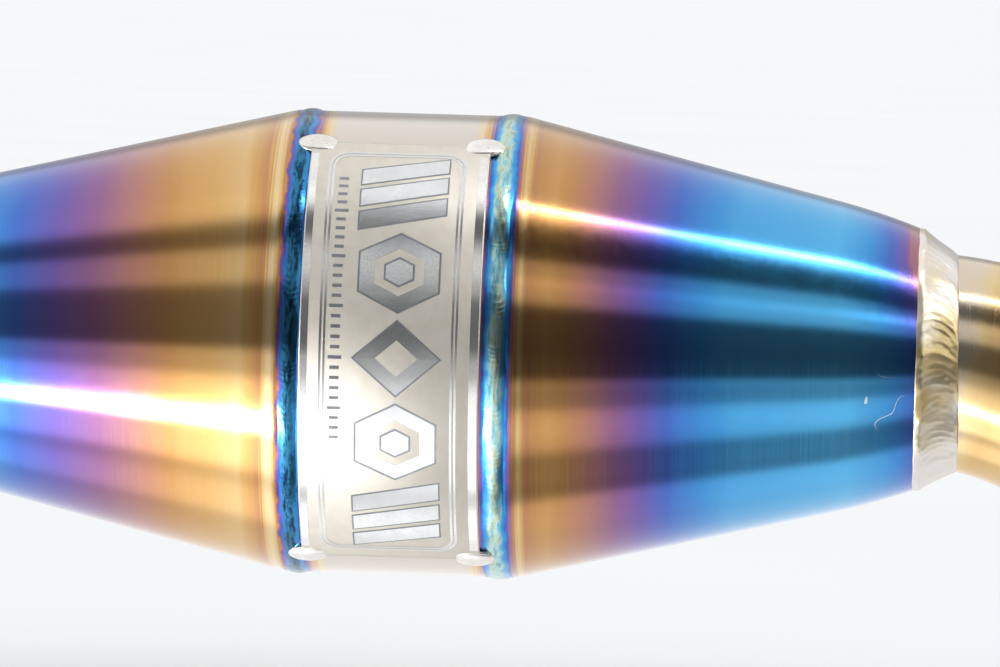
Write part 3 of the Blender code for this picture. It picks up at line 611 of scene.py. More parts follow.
def filletHeight(t, angle, seed):
    run = angle * 28.5 * mm
    centre = 2 * t - 1
    arch = fillet["bow"] * (1 - centre * centre)
    wander = 1.6 * smoothNoise(run, seed, 0, 10 * mm)
    small = crescentWave(-run / fillet["pitch"] + arch + wander)
    large = crescentWave(-run / fillet["bigPitch"] + arch * 0.12 + 0.9 * smoothNoise(run, seed, 4, 14 * mm))
    swell = smoothNoise(run, t * 6 * mm, seed, 7 * mm)
    vigour = 0.75 + 0.8 * smoothNoise(run, 3, seed, 15 * mm)
    grain = smoothNoise(run, t * 9 * mm, seed, 1.1 * mm)
    fade = min(1.0, 7 * t, 9 * (1 - t))
    return fade * (fillet["crescent"] * vigour * small + fillet["bigStep"] * (large - 0.5)
                   + fillet["swell"] * swell + fillet["grain"] * grain)


def filletEdge(t, angle):
    # how far both edges of the fillet stray along the axis
    return (0.35 * mm * (1 - t) * smoothNoise(angle * 28.5 * mm, 0, 7, 5 * mm)
            + 0.3 * mm * t * smoothNoise(angle * 25 * mm, 2, 1, 4 * mm))


def buildFillet(name, node, material, placeAt, mirror=1):
    # a fillet weld whose axis follows placeAt(distance from the cone's end)
    rings = []
    count, sides = fillet["across"], fillet["sides"]
    for step in range(-1, count + 1):
        t = max(0.0, step / count)
        place = placeAt(fillet["length"] * t - (0.6 * mm if step < 0 else 0))
        ring = []
        for side in range(sides):
            angle = turn * side / sides
            radius = filletRadius(t) - (0.5 * mm if step < 0 else 0)
            lift = closedWeld(lambda a: filletHeight(t, a, 5), angle) if step >= 0 else 0
            shift = closedWeld(lambda a: filletEdge(t, a), angle)
            reach = radius + lift
            point = Vector((shift * mirror, -reach * math.cos(angle), reach * math.sin(angle)))
            ring.append(place @ point)
        rings.append(ring)
    for t in (1.0, 0.0):
        place = placeAt(fillet["length"] * t)
        rings.append([place @ point for point in ringAt(0, pipe["radius"] - 0.4 * mm, sides)])
    addPiece(name, loft(rings, closeAlong=True), material, "muffler", [node], sharpAngle=75)


def besideElbow(distance):
    # sections that sink with the bend but stay nearly upright; below, they reach a little
    # further along the pipe
    drop = pipe["bendRadius"] - math.sqrt(pipe["bendRadius"] ** 2 - distance ** 2)
    return (Matrix.Translation((coneEndX + distance, 0, -drop))
            @ Matrix.Rotation(-fillet["lean"] * distance, 4, "Y"))


def buildWelds(finishes):
    buildSeamWelds(finishes)
    buildLongSeams(finishes["longSeam"])
    buildFillet("inletFillet", "inlet_weld_bead", finishes["bead"], besideElbow)
    buildFillet("outletFillet", "outlet_weld_bead", finishes["bead"],
                lambda distance: Matrix.Translation((-coneEndX - distance, 0, 0)), mirror=-1)


def buildInletPipe(material):
    places = [elbowPlace(0) @ Matrix.Translation((-20 * mm, 0, 0))]
    places += [elbowPlace(elbowAngle * step / 40) for step in range(41)]
    places += [elbowPlace(elbowAngle, pipe["tail"] * step / 6) for step in range(1, 7)]
    rings = [[place @ p for p in ringAt(0, pipe["radius"], 128)] for place in places]
    bore = pipe["radius"] - pipe["wall"]
    rings += [[place @ p for p in ringAt(0, bore, 128)] for place in reversed(places[::2])]
    addPiece("inletElbow", loft(rings, closeAlong=True), material, "muffler",
             ["inlet_pipe"])


badge = {
    "low": -21.6 * mm, "high": 20.4 * mm, "arc": 118.8 * mm, "turn": -1.0,
    "base": 55.05 * mm, "face": 56.1 * mm, "bevel": 0.3 * mm,
    "frameInset": 4.4 * mm, "frameWidth": 0.5 * mm, "frameCorner": 5.0 * mm,
    "frameMiddle": -0.25 * mm, "frameHalf": 16.1 * mm, "frameGap": 0.45 * mm,
    "inlayRise": 0.07 * mm, "sunk": 0.2 * mm, "inletStrip": 1.96 * mm, "outletStrip": 1.68 * mm,
    "stripShort": 5 * mm, "outline": 0.55 * mm, "dashes": -12.6 * mm, "dashPitch": 2.4 * mm,
    "dashHalf": 0.4 * mm,
}
ornament = {
    "column": 1.75 * mm, "half": 10.0 * mm, "lean": 2.2 * mm, "barHalf": 2.3 * mm,
    "barPitch": 6.4 * mm, "barsAt": 42 * mm, "ringHeight": 9.4 * mm, "ringsAt": 20.4 * mm,
    "lozengeHalf": 8.6 * mm,
}
badgeMiddle = (badge["low"] + badge["high"]) / 2
badgeHalf = (badge["high"] - badge["low"]) / 2


def wrapOnBadge(solid, slices=1.6 * mm):
    # bends a flat piece (along, round, height over the plate's face) round the body
    low = min(vert.co.y for vert in solid.verts)
    high = max(vert.co.y for vert in solid.verts)
    for k in range(1, int((high - low) / slices) + 1):
        geometry = solid.verts[:] + solid.edges[:] + solid.faces[:]
        bmesh.ops.bisect_plane(solid, geom=geometry, plane_co=(0, low + k * slices, 0),
                               plane_no=(0, 1, 0), dist=1e-7)
    for vert in solid.verts:
        u, v, height = vert.co
        angle = math.radians(badge["turn"]) + v / badge["face"]
        reach = badge["face"] + height
        vert.co = (badgeMiddle + u, -reach * math.cos(angle), reach * math.sin(angle))
    bmesh.ops.recalc_face_normals(solid, faces=solid.faces)
    return solid


def addPrism(solid, outline, low, high, hole=None):
    # upright slab with an outline of (along, round) points, and a matching hole if given
    def loop(points, height):
        return [solid.verts.new((u, v, height)) for u, v in points]
    top, bottom = loop(outline, high), loop(outline, low)
    count = len(outline)
    for i in range(count):
        j = (i + 1) % count
        solid.faces.new((bottom[i], bottom[j], top[j], top[i]))
    if not hole:
        solid.faces.new(top)
        solid.faces.new(reversed(bottom))
        return
    innerTop, innerBottom = loop(hole, high), loop(hole, low)
    for i in range(count):
        j = (i + 1) % count
        solid.faces.new((top[i], top[j], innerTop[j], innerTop[i]))
        solid.faces.new((innerTop[i], innerTop[j], innerBottom[j], innerBottom[i]))
        solid.faces.new((innerBottom[i], innerBottom[j], bottom[j], bottom[i]))


def roundedBox(halfU, halfV, corner, steps=6):
    points = []
    for quarter, (signU, signV) in enumerate(((1, 1), (-1, 1), (-1, -1), (1, -1))):
        for step in range(steps + 1):
            angle = math.pi / 2 * (quarter + step / steps)
            points.append((signU * (halfU - corner) + corner * math.cos(angle),
                           signV * (halfV - corner) + corner * math.sin(angle)))
    return points


def hexagon(radiusU, radiusV):
    return [(radiusU * math.cos(turn * (k + 0.5) / 6) / math.cos(math.pi / 6),
             radiusV * math.sin(turn * (k + 0.5) / 6)) for k in range(6)]


def lozenge(halfU, halfV):
    return [(halfU, 0), (0, halfV), (-halfU, 0), (0, -halfV)]


def shifted(points, du, dv):
    return [(u + du, v + dv) for u, v in points]


def scaled(points, factor):
    return [(u * factor, v * factor) for u, v in points]


def inset(points, amount):
    # closed outline moved inwards, whichever way round it runs
    count = len(points)
    area = sum(points[i - 1][0] * points[i][1] - points[i][0] * points[i - 1][1] for i in range(count))
    sign = 1 if area > 0 else -1
    result = []
    for i in range(count):
        before = Vector(points[i]) - Vector(points[i - 1])
        after = Vector(points[(i + 1) % count]) - Vector(points[i])
        normal = before.normalized() + after.normalized()
        normal = Vector((-normal.y, normal.x)).normalized() * sign
        result.append(tuple(Vector(points[i]) + normal * amount))
    return result


def buildBadge(finishes):
    halfArc = badge["arc"] / 2
    thick = badge["face"] - badge["base"]

    plate = bmesh.new()
    outline = roundedBox(badgeHalf, halfArc, 1.2 * mm)
    inner = roundedBox(badgeHalf - badge["bevel"], halfArc - badge["bevel"], 1.0 * mm)
    layers = [(outline, -thick), (outline, -badge["bevel"] * 0.8), (inner, 0)]
    loops = [[plate.verts.new((u, v, height)) for u, v in points] for points, height in layers]
    for near, far in zip(loops, loops[1:]):
        for i in range(len(near)):
            j = (i + 1) % len(near)
            plate.faces.new((near[i], near[j], far[j], far[i]))
    plate.faces.new(loops[-1])
    plate.faces.new(reversed(loops[0]))
    addPiece("badgePlate", wrapOnBadge(plate), finishes["badgeField"], "muffler",
             ["badge_plate"])

    low, high = -badge["sunk"], badge["inlayRise"]
    frameLine = bmesh.new()
    width, corner = badge["frameWidth"], badge["frameCorner"]
    for step in range(2):
        cut = step * (width + badge["frameGap"])
        halfU, halfV = badge["frameHalf"] - cut, halfArc - badge["frameInset"] - cut
        ring = roundedBox(halfU, halfV, corner - cut)
        hole = roundedBox(halfU - width, halfV - width, corner - cut - width)
        addPrism(frameLine, shifted(ring, badge["frameMiddle"], 0), low, high,
                 shifted(hole, badge["frameMiddle"], 0))
    addPiece("badgeFrameLine", wrapOnBadge(frameLine), finishes["badgeInlay"], "muffler")

    # an unetched strip stays polished along both long edges
    strips = bmesh.new()
    reach = halfArc - badge["stripShort"]
    for side, wide in ((1, badge["inletStrip"]), (-1, badge["outletStrip"])):
        outer, innerU = badgeHalf - badge["bevel"], badgeHalf - badge["bevel"] - wide
        strip = [(side * outer, -reach), (side * outer, reach), (side * innerU, reach),
                 (side * innerU, -reach)]
        addPrism(strips, strip, low, high * 0.6)
    addPiece("badgeEdgeStrips", wrapOnBadge(strips), finishes["badgeStrip"], "muffler")

    # plain geometric ornament: slanted bars, hexagons and a lozenge
    half, lean, barHalf = ornament["half"], ornament["lean"], ornament["barHalf"]
    bar = [(-half, -barHalf - lean), (half, -barHalf + lean), (half, barHalf + lean),
           (-half, barHalf - lean)]
    ring = hexagon(half * 0.92, ornament["ringHeight"])
    heart = lozenge(half, ornament["lozengeHalf"])
    shapes = [(shifted(bar, 0, place + k * ornament["barPitch"]), None)
              for place in (-ornament["barsAt"], ornament["barsAt"]) for k in (-1, 0, 1)]
    for place in (-ornament["ringsAt"], ornament["ringsAt"]):
        shapes.append((shifted(ring, 0, place), shifted(scaled(ring, 0.62), 0, place)))
        shapes.append((shifted(scaled(ring, 0.34), 0, place), None))
    shapes.append((heart, scaled(heart, 0.5)))
    inlays, shadeRims = bmesh.new(), bmesh.new()
    for outline, hole in shapes:
        outline = shifted(outline, ornament["column"], 0)
        hole = shifted(hole, ornament["column"], 0) if hole else None
        addPrism(inlays, outline, low, high, hole)
        # each shape also gets a thin dark rim round it, which is painted shade along its raised edge
        addPrism(shadeRims, inset(outline, -badge["outline"]), low, high * 0.6, inset(outline, -0.02 * mm))
    addPiece("badgeOrnament", wrapOnBadge(inlays), finishes["badgeInlay"], "muffler")
    addPiece("badgeOutlines", wrapOnBadge(shadeRims), finishes["badgeLineAndShade"], "muffler")

    # a row of small plain dashes beside it
    dashes = bmesh.new()
    for k in range(-8, 20):
        long = 2.2 * mm if k % 5 else 3.2 * mm
        tall = badge["dashHalf"]
        dash = [(-long / 2, -tall), (long / 2, -tall), (long / 2, tall), (-long / 2, tall)]
        addPrism(dashes, shifted(dash, badge["dashes"], k * badge["dashPitch"]), low, high * 0.7)
    addPiece("badgeDashes", wrapOnBadge(dashes), finishes["badgeLineAndShade"], "muffler")


tack = {
    "radius": 4.9 * mm, "inward": 1.3 * mm, "narrow": 0.78, "height": 0.95 * mm,
    "floor": 55.75 * mm, "sides": 48,
}
# rise and reach, from under the plate's edge to the top of the pad
tackProfile = [(-0.7, 1.02), (-0.15, 1.02), (0.12, 0.985), (0.34, 0.9), (0.56, 0.76),
               (0.76, 0.56), (0.9, 0.34), (0.97, 0.16), (1.0, 0.02)]


def buildTacks(material):
    halfTurn = badge["arc"] / 2 / badge["face"]
    tilt = math.radians(badge["turn"])
    corners = [(x, tilt + side * halfTurn) for side in (1, -1)
               for x in (badge["low"] + tack["inward"], badge["high"] - tack["inward"])]
    for number, (x, angle) in enumerate(corners, 1):
        place = (Matrix.Translation((x, 0, 0)) @ Matrix.Rotation(-angle, 4, "X")
                 @ Matrix.Rotation(-math.pi / 2, 4, "Z"))
        inward = math.atan2(-math.copysign(1, x), -math.copysign(1, angle - tilt))
        rings = []
        for rise, reach in tackProfile:
            ring = []
            for k in range(tack["sides"]):
                around = turn * k / tack["sides"]
                wobble = 1 + 0.06 * smoothNoise(math.cos(around), math.sin(around), number * 3, 1)
                pointed = 0.22 * max(0.0, math.cos(around - inward)) ** 6
                radius = tack["radius"] * reach * (wobble * 0.94 + pointed)
                ring.append(place @ Vector((tack["floor"] + tack["height"] * rise,
                                            radius * math.sin(around),
                                            radius * math.cos(around) * tack["narrow"])))
            rings.append(ring)
        addPiece(f"tackPad{number}", loft(rings, caps=True), material, "muffler",
                 [f"badge_tack_{number}"])


def carve(piece, *cutters):
    # cuts closed solids out of a finished piece and keeps the result as its mesh
    for solid in cutters:
        bmesh.ops.recalc_face_normals(solid, faces=solid.faces)
        mesh = bpy.data.meshes.new("cutter")
        solid.to_mesh(mesh)
        solid.free()
        cutter = bpy.data.objects.new("cutter", mesh)
        bpy.context.scene.collection.objects.link(cutter)
        cutter.matrix_world = piece.matrix_world
        boolean = piece.modifiers.new("carve", "BOOLEAN")
        boolean.operation = "DIFFERENCE"
        boolean.solver = "EXACT"
        boolean.object = cutter
        bpy.context.view_layer.update()
        graph = bpy.context.evaluated_depsgraph_get()
        carved = bpy.data.meshes.new_from_object(piece.evaluated_get(graph))
        piece.modifiers.clear()
        old, piece.data = piece.data, carved
        carved.name = piece.name
        bpy.data.meshes.remove(old)
        bpy.data.objects.remove(cutter)
    piece.data.set_sharp_from_angle(angle=math.radians(40))
    return piece


def prism(outline, low, high, axis="X", place=None):
    # closed slab through a list of points in the plane across the axis
    solid = bmesh.new()
    loops = []
    for level in (low, high):
        if axis == "X":
            loops.append([solid.verts.new((level, a, b)) for a, b in outline])
        else:
            loops.append([solid.verts.new((a, b, level)) for a, b in outline])
    for i in range(len(outline)):
        j = (i + 1) % len(outline)
        solid.faces.new((loops[0][i], loops[0][j], loops[1][j], loops[1][i]))
    solid.faces.new(reversed(loops[0]))
    solid.faces.new(loops[1])
    if place:
        bmesh.ops.transform(solid, matrix=place, verts=solid.verts)
    bmesh.ops.recalc_face_normals(solid, faces=solid.faces)
    return solid


def drill(low, high, radius, place=None, sides=48):
    # closed rod along X
    circle = [(radius * math.cos(turn * k / sides), radius * math.sin(turn * k / sides))
              for k in range(sides)]
    return prism(circle, low, high, place=place)


def slab(outline, low, high, bevel):
    # prism along X with its end edges broken
    small = inset(outline, bevel)
    levels = [(low, small), (low + bevel * 0.3, inset(outline, bevel * 0.3)),
              (low + bevel, outline), (high - bevel, outline),
              (high - bevel * 0.3, inset(outline, bevel * 0.3)), (high, small)]
    return loft([[(x, a, b) for a, b in points] for x, points in levels], caps=True)


socket = {
    "length": 50 * mm, "bore": 25.8 * mm, "wall": 1.5 * mm, "slots": 4,
    "slotLength": 26 * mm, "slotWidth": 2.6 * mm, "fillet": 3.5 * mm,
}


def buildSocket(finishes):
    outside = socket["bore"] + socket["wall"]
    outline = rounded([(-socket["length"], outside), (0, outside), (0, socket["bore"]),
                       (-socket["length"], socket["bore"])], 0.5 * mm)
    piece = addPiece("slottedSocket", turned(outline, 128), finishes["socket"], "muffler",
                     ["inlet_socket"], jointPlace)
    half = socket["slotWidth"] / 2
    outline = [(3 * mm, -half), (3 * mm, half)]
    outline += [(-socket["slotLength"] + half - half * math.sin(math.pi * k / 10),
                 half * math.cos(math.pi * k / 10)) for k in range(11)]
    cutters = []
    for slot in range(socket["slots"]):
        place = Matrix.Rotation(turn * (slot + 0.5) / socket["slots"], 4, "X")
        cutters.append(prism(outline, socket["bore"] - 2 * mm, outside + 2 * mm, "Z", place))
    carve(piece, *cutters)

    sides, rings = 620, []
    for step in range(15):
        t = step / 14
        x = -socket["length"] - socket["fillet"] * t
        ring = []
        for side in range(sides):
            angle = turn * side / sides
            run = angle * 26 * mm
            wave = crescentWave(run / (1.1 * mm) + 1.2 * (1 - (2 * t - 1) ** 2)
                                + smoothNoise(run, 9, 9, 6 * mm))
            fade = min(1.0, 6 * t, 6 * (1 - t))
            radius = pipe["radius"] + (outside - pipe["radius"]) * (1 - t) ** 0.8
            radius += fade * (0.25 * mm + 0.10 * mm * wave)
            ring.append(Vector((x, -radius * math.cos(angle), radius * math.sin(angle))))
        rings.append(ring)
    rings.append(ringAt(-socket["length"] - socket["fillet"], pipe["radius"] - 0.4 * mm, sides))
    rings.append(ringAt(-socket["length"] + 0.3 * mm, pipe["radius"] - 0.4 * mm, sides))
    rings.append(ringAt(-socket["length"] + 0.3 * mm, outside - 0.2 * mm, sides))
    addPiece("socketFillet", loft(rings, closeAlong=True), finishes["bead"], "muffler",
             ["socket_weld_bead"], jointPlace, 75)


clamp = {
    "width": 18 * mm, "thickness": 1.6 * mm, "fromMouth": 4 * mm, "mouth": 9 * mm,
    "earLength": 15 * mm, "earThickness": 2.4 * mm, "edgeBreak": 0.35 * mm,
}
bolt = {
    "radius": 3.0 * mm, "hole": 3.3 * mm, "hexRadius": 5.77 * mm, "headHeight": 4 * mm,
    "nutHeight": 5 * mm, "washerRadius": 6.4 * mm, "washerThickness": 1.2 * mm,
    "pitch": 1.0 * mm, "threadDepth": 0.5 * mm, "gap": 0.3 * mm,
}
clampBore = socket["bore"] + socket["wall"] + bolt["gap"]
clampOutside = clampBore + clamp["thickness"]
clampMiddle = -clamp["fromMouth"] - clamp["width"] / 2
toClampBolt = (Matrix.Translation((clampMiddle, 0, -(clampOutside + clamp["earLength"] * 0.55)))
               @ Matrix.Rotation(math.pi / 2, 4, "Z"))
clampBoltPlace = jointPlace @ toClampBolt


def hexReach(angle):
    flat = bolt["hexRadius"] * math.cos(math.pi / 6)
    return flat / math.cos((angle + math.pi / 6) % (math.pi / 3) - math.pi / 6)


def hexRing(x, chamferSide, sides=72):
    # the corner chamfer cuts a cone off the hexagon, so its edge dips at each corner
    flat = bolt["hexRadius"] * math.cos(math.pi / 6)
    ring = []
    for k in range(sides):
        angle = turn * k / sides
        reach = hexReach(angle)
        dip = (reach - flat * 0.96) * math.tan(math.radians(30))
        ring.append((x - chamferSide * dip, reach * math.cos(angle), reach * math.sin(angle)))
    return ring


def roundRing(x, radius, sides=72):
    return [(x, radius * math.cos(turn * k / sides), radius * math.sin(turn * k / sides))
            for k in range(sides)]


def threadRings(start, end, sides=72):
    # a rolled thread: the crest climbs one pitch for each turn
    count = max(2, int(abs(end - start) / bolt["pitch"] * 10))
    rings = []
    for step in range(count + 1):
        x = start + (end - start) * step / count
        ring = []
        for k in range(sides):
            angle = turn * k / sides
            part = (x / bolt["pitch"] - angle / turn) % 1.0
            groove = bolt["threadDepth"] * min(1.0, max(0.0, abs(part - 0.5) * 2.6 - 0.15))
            fade = min(1.0, (count - step) / 6)
            radius = bolt["radius"] - groove * fade - 0.35 * mm * (1 - fade)
            ring.append((x, radius * math.cos(angle), radius * math.sin(angle)))
        rings.append(ring)
    return rings


def hexBolt(headFace, tip, plainLength):
    # hexagon head bolt along X; its head lies on the far side of headFace from its tip
    way = math.copysign(1, tip - headFace)
    back = headFace - way * bolt["headHeight"]
    flat = bolt["hexRadius"] * math.cos(math.pi / 6)
    neck = headFace + way * plainLength
    rings = [roundRing(back, flat * 0.5), roundRing(back, flat * 0.96), hexRing(back, -way),
             hexRing(headFace - way * 0.45 * mm, 0), roundRing(headFace - way * 0.3 * mm, flat * 0.98),
             roundRing(headFace, flat * 0.94), roundRing(headFace, bolt["radius"] * 1.12),
             roundRing(headFace + way * 0.3 * mm, bolt["radius"]), roundRing(neck, bolt["radius"])]
    rings += threadRings(neck + way * 0.1 * mm, tip)
    rings.append(roundRing(tip + way * 0.01 * mm, bolt["radius"] * 0.4))
    return loft(rings, caps=True)


def hexNut(start, end):
    flat = bolt["hexRadius"] * math.cos(math.pi / 6)
    hole = bolt["radius"] + 0.1 * mm
    rings = [roundRing(start, hole + 0.5 * mm), roundRing(start, flat * 0.96),
             hexRing(start, -1), hexRing(end, 1), roundRing(end, flat * 0.96),
             roundRing(end, hole + 0.5 * mm), roundRing(end - 0.5 * mm, hole),
             roundRing(start + 0.5 * mm, hole)]
    return loft(rings, closeAlong=True)


def washer(start):
    end = start + bolt["washerThickness"]
    outline = rounded([(start, bolt["washerRadius"]), (end, bolt["washerRadius"]),
                       (end, bolt["hole"]), (start, bolt["hole"])], 0.25 * mm)
    return turned(outline, 64)


def buildClamp(finishes):
    half = clamp["mouth"] / 2
    earEnd = clampOutside + clamp["earLength"]
    steps = 96

    def arc(radius, halfGap):
        gap = math.asin(halfGap / radius)
        turns = [gap + (turn - 2 * gap) * step / steps for step in range(steps + 1)]
        return [(radius * math.sin(a), -radius * math.cos(a)) for a in turns]

    earOuter = half + clamp["earThickness"]
    ends = 1.0 * mm
    outline = arc(clampOutside, earOuter)
    outline += [(-earOuter, -earEnd + ends), (-earOuter + ends * 0.4, -earEnd + ends * 0.3),
                (-earOuter + ends, -earEnd), (-half - ends * 0.5, -earEnd), (-half, -earEnd + ends * 0.5)]
    outline += list(reversed(arc(clampBore, half)))
    outline += [(half, -earEnd + ends * 0.5), (half + ends * 0.5, -earEnd),
                (earOuter - ends, -earEnd), (earOuter - ends * 0.4, -earEnd + ends * 0.3),
                (earOuter, -earEnd + ends)]
    start = clampMiddle - clamp["width"] / 2
    band = addPiece("clampStrap", slab(outline, start, start + clamp["width"], clamp["edgeBreak"]),
                    finishes["stainless"], "clamp", ["clamp_band"], jointPlace)
    carve(band, drill(-12 * mm, 12 * mm, bolt["hole"], toClampBolt))

    gap = bolt["gap"]
    headFace = -(earOuter + gap)
    nutFace = earOuter + 2 * gap + bolt["washerThickness"]
    tip = nutFace + bolt["nutHeight"] + 6 * mm
    addPiece("clampBolt", hexBolt(headFace, tip, 8 * mm), finishes["zinc"], "clamp",
             ["clamp_bolt"], clampBoltPlace)
    addPiece("clampWasher", washer(earOuter + gap), finishes["zinc"], "nut_washer",
             ["clamp_washer"], clampBoltPlace)
    addPiece("clampNut", hexNut(nutFace, nutFace + bolt["nutHeight"]), finishes["zinc"], "nut",
             ["clamp_nut"], clampBoltPlace)


outlet = {
    "length": 42 * mm, "lip": 2.4 * mm, "bossRadius": 7 * mm, "bossHeight": 5 * mm, "bossFromLip": 16 * mm,
}
baffle = {
    "recess": 4 * mm, "collar": 20 * mm, "collarRadius": 24.0 * mm, "wall": 1.2 * mm,
    "tubeRadius": 15 * mm, "tubeLength": 84 * mm, "rows": 4, "holes": 4, "hole": 2.6 * mm,
    "restrictorBore": 9 * mm, "restrictorThickness": 3 * mm,
}
tipEndX = -(coneEndX + outlet["length"])
toBoss = (Matrix.Translation((tipEndX + outlet["bossFromLip"], 0, 0))
          @ Matrix.Rotation(math.pi / 2, 4, "Z"))
bossPlace = bodyPlace @ toBoss


def buildOutlet(finishes):
    lipX = tipEndX + outlet["lip"]
    lipCentre = pipe["radius"] + outlet["lip"] * 0.45
    bore = pipe["radius"] - pipe["wall"]
    start = -(coneEndX - 20 * mm)
    outline = [(start, pipe["radius"])]
    outline += [(start + (lipX + outlet["lip"] * 1.5 - start) * k / 12, pipe["radius"])
                for k in range(1, 13)]
    for step in range(25):
        angle = math.radians(50 + 205 * step / 24)
        outline.append((lipX + outlet["lip"] * math.cos(angle),
                        lipCentre + outlet["lip"] * math.sin(angle)))
    outline += [(tipEndX + outlet["lip"] * 1.1, bore), (start, bore)]
    tip = addPiece("outletTip", turned(outline, 160), finishes["outletPipe"], "muffler",
                   ["outlet_tip"])
    carve(tip, drill(15 * mm, 30 * mm, bolt["hole"], toBoss))

    top = pipe["radius"] + outlet["bossHeight"]
    low = pipe["radius"] - 0.9 * mm
    radius = outlet["bossRadius"]
    outline = rounded([(low, radius), (top, radius), (top, bolt["hole"]), (low, bolt["hole"])], 0.5 * mm)
    addPiece("boltBoss", turned(outline, 72), finishes["socket"], "muffler",
             ["bolt_boss"], bossPlace)

    washerFace = top + bolt["gap"]
    headFace = washerFace + bolt["washerThickness"] + bolt["gap"]
    addPiece("baffleWasher", washer(washerFace), finishes["zinc"], "bolt_washer",
             ["baffle_bolt_washer"], bossPlace)
    addPiece("baffleBolt", hexBolt(headFace, bore, 1.5 * mm), finishes["zinc"], "bolt",
             ["baffle_bolt"], bossPlace)


def buildBaffle(finishes):
    place = bodyPlace @ Matrix.Translation((tipEndX + baffle["recess"], 0, 0))
    collar, wall = baffle["collarRadius"] - 0.1 * mm, baffle["wall"]
    hole = baffle["tubeRadius"] - 0.1 * mm
    outline = [(0, collar - wall * 1.6), (wall * 0.25, collar - wall * 0.7),
               (wall, collar - wall * 0.1), (wall * 1.8, collar), (baffle["collar"], collar),
               (baffle["collar"], collar - wall), (2.4 * wall, collar - wall),
               (1.7 * wall, collar - wall * 1.3), (wall, collar - wall * 2.2), (wall, hole), (0, hole)]
    addPiece("baffleRing", turned(rounded(outline, 0.2 * mm), 128), finishes["stainless"],
             "baffle", ["baffle_ring"], place)

    bore = baffle["tubeRadius"] - wall
    start = -wall
    end = start + baffle["tubeLength"]
    outline = rounded([(start, baffle["tubeRadius"]), (end, baffle["tubeRadius"]), (end, bore),
                       (start, bore)], 0.4 * mm)
    tube = addPiece("baffleTube", turned(outline, 96), finishes["stainless"], "baffle",
                    ["baffle_tube"], place)
    drills = []
    first, last = baffle["collar"] + wall, end - baffle["restrictorThickness"] * 2
    for row in range(baffle["rows"]):
        x = first + (last - first) * (row + 0.5) / baffle["rows"]
        for number in range(baffle["holes"]):
            angle = turn * (number + 0.5 * (row % 2)) / baffle["holes"]
            drills.append(drill(bore - 2 * mm, baffle["tubeRadius"] + 2 * mm, baffle["hole"],
                                Matrix.Translation((x, 0, 0)) @ Matrix.Rotation(angle, 4, "X")
                                @ Matrix.Rotation(-math.pi / 2, 4, "Y"), 24))
    whole = bmesh.new()
    for solid in drills:
        mesh = bpy.data.meshes.new("drill")
        solid.to_mesh(mesh)
        solid.free()
        whole.from_mesh(mesh)
        bpy.data.meshes.remove(mesh)
    carve(tube, whole)

    outline = rounded([(end - baffle["restrictorThickness"], bore), (end, bore),
                       (end, baffle["restrictorBore"]),
                       (end - baffle["restrictorThickness"], baffle["restrictorBore"])], 0.5 * mm)
    addPiece("baffleRestrictor", turned(outline, 96), finishes["stainless"], "baffle",
             ["baffle_restrictor"], place)


hanger = {
    "lift": 14 * mm, "plate": 3 * mm, "halfSpan": 22 * mm, "width": 30 * mm,
    "hole": 9 * mm, "flange": 12.5 * mm, "lip": 3 * mm, "sleeve": 6 * mm, "bore": 4.25 * mm,
    "sleeveFlange": 10 * mm, "sleeveFlangeThickness": 1.6 * mm, "gap": 0.3 * mm,
    "outerBend": 4.5 * mm, "innerBend": 1.5 * mm, "bead": 1.9 * mm,
}


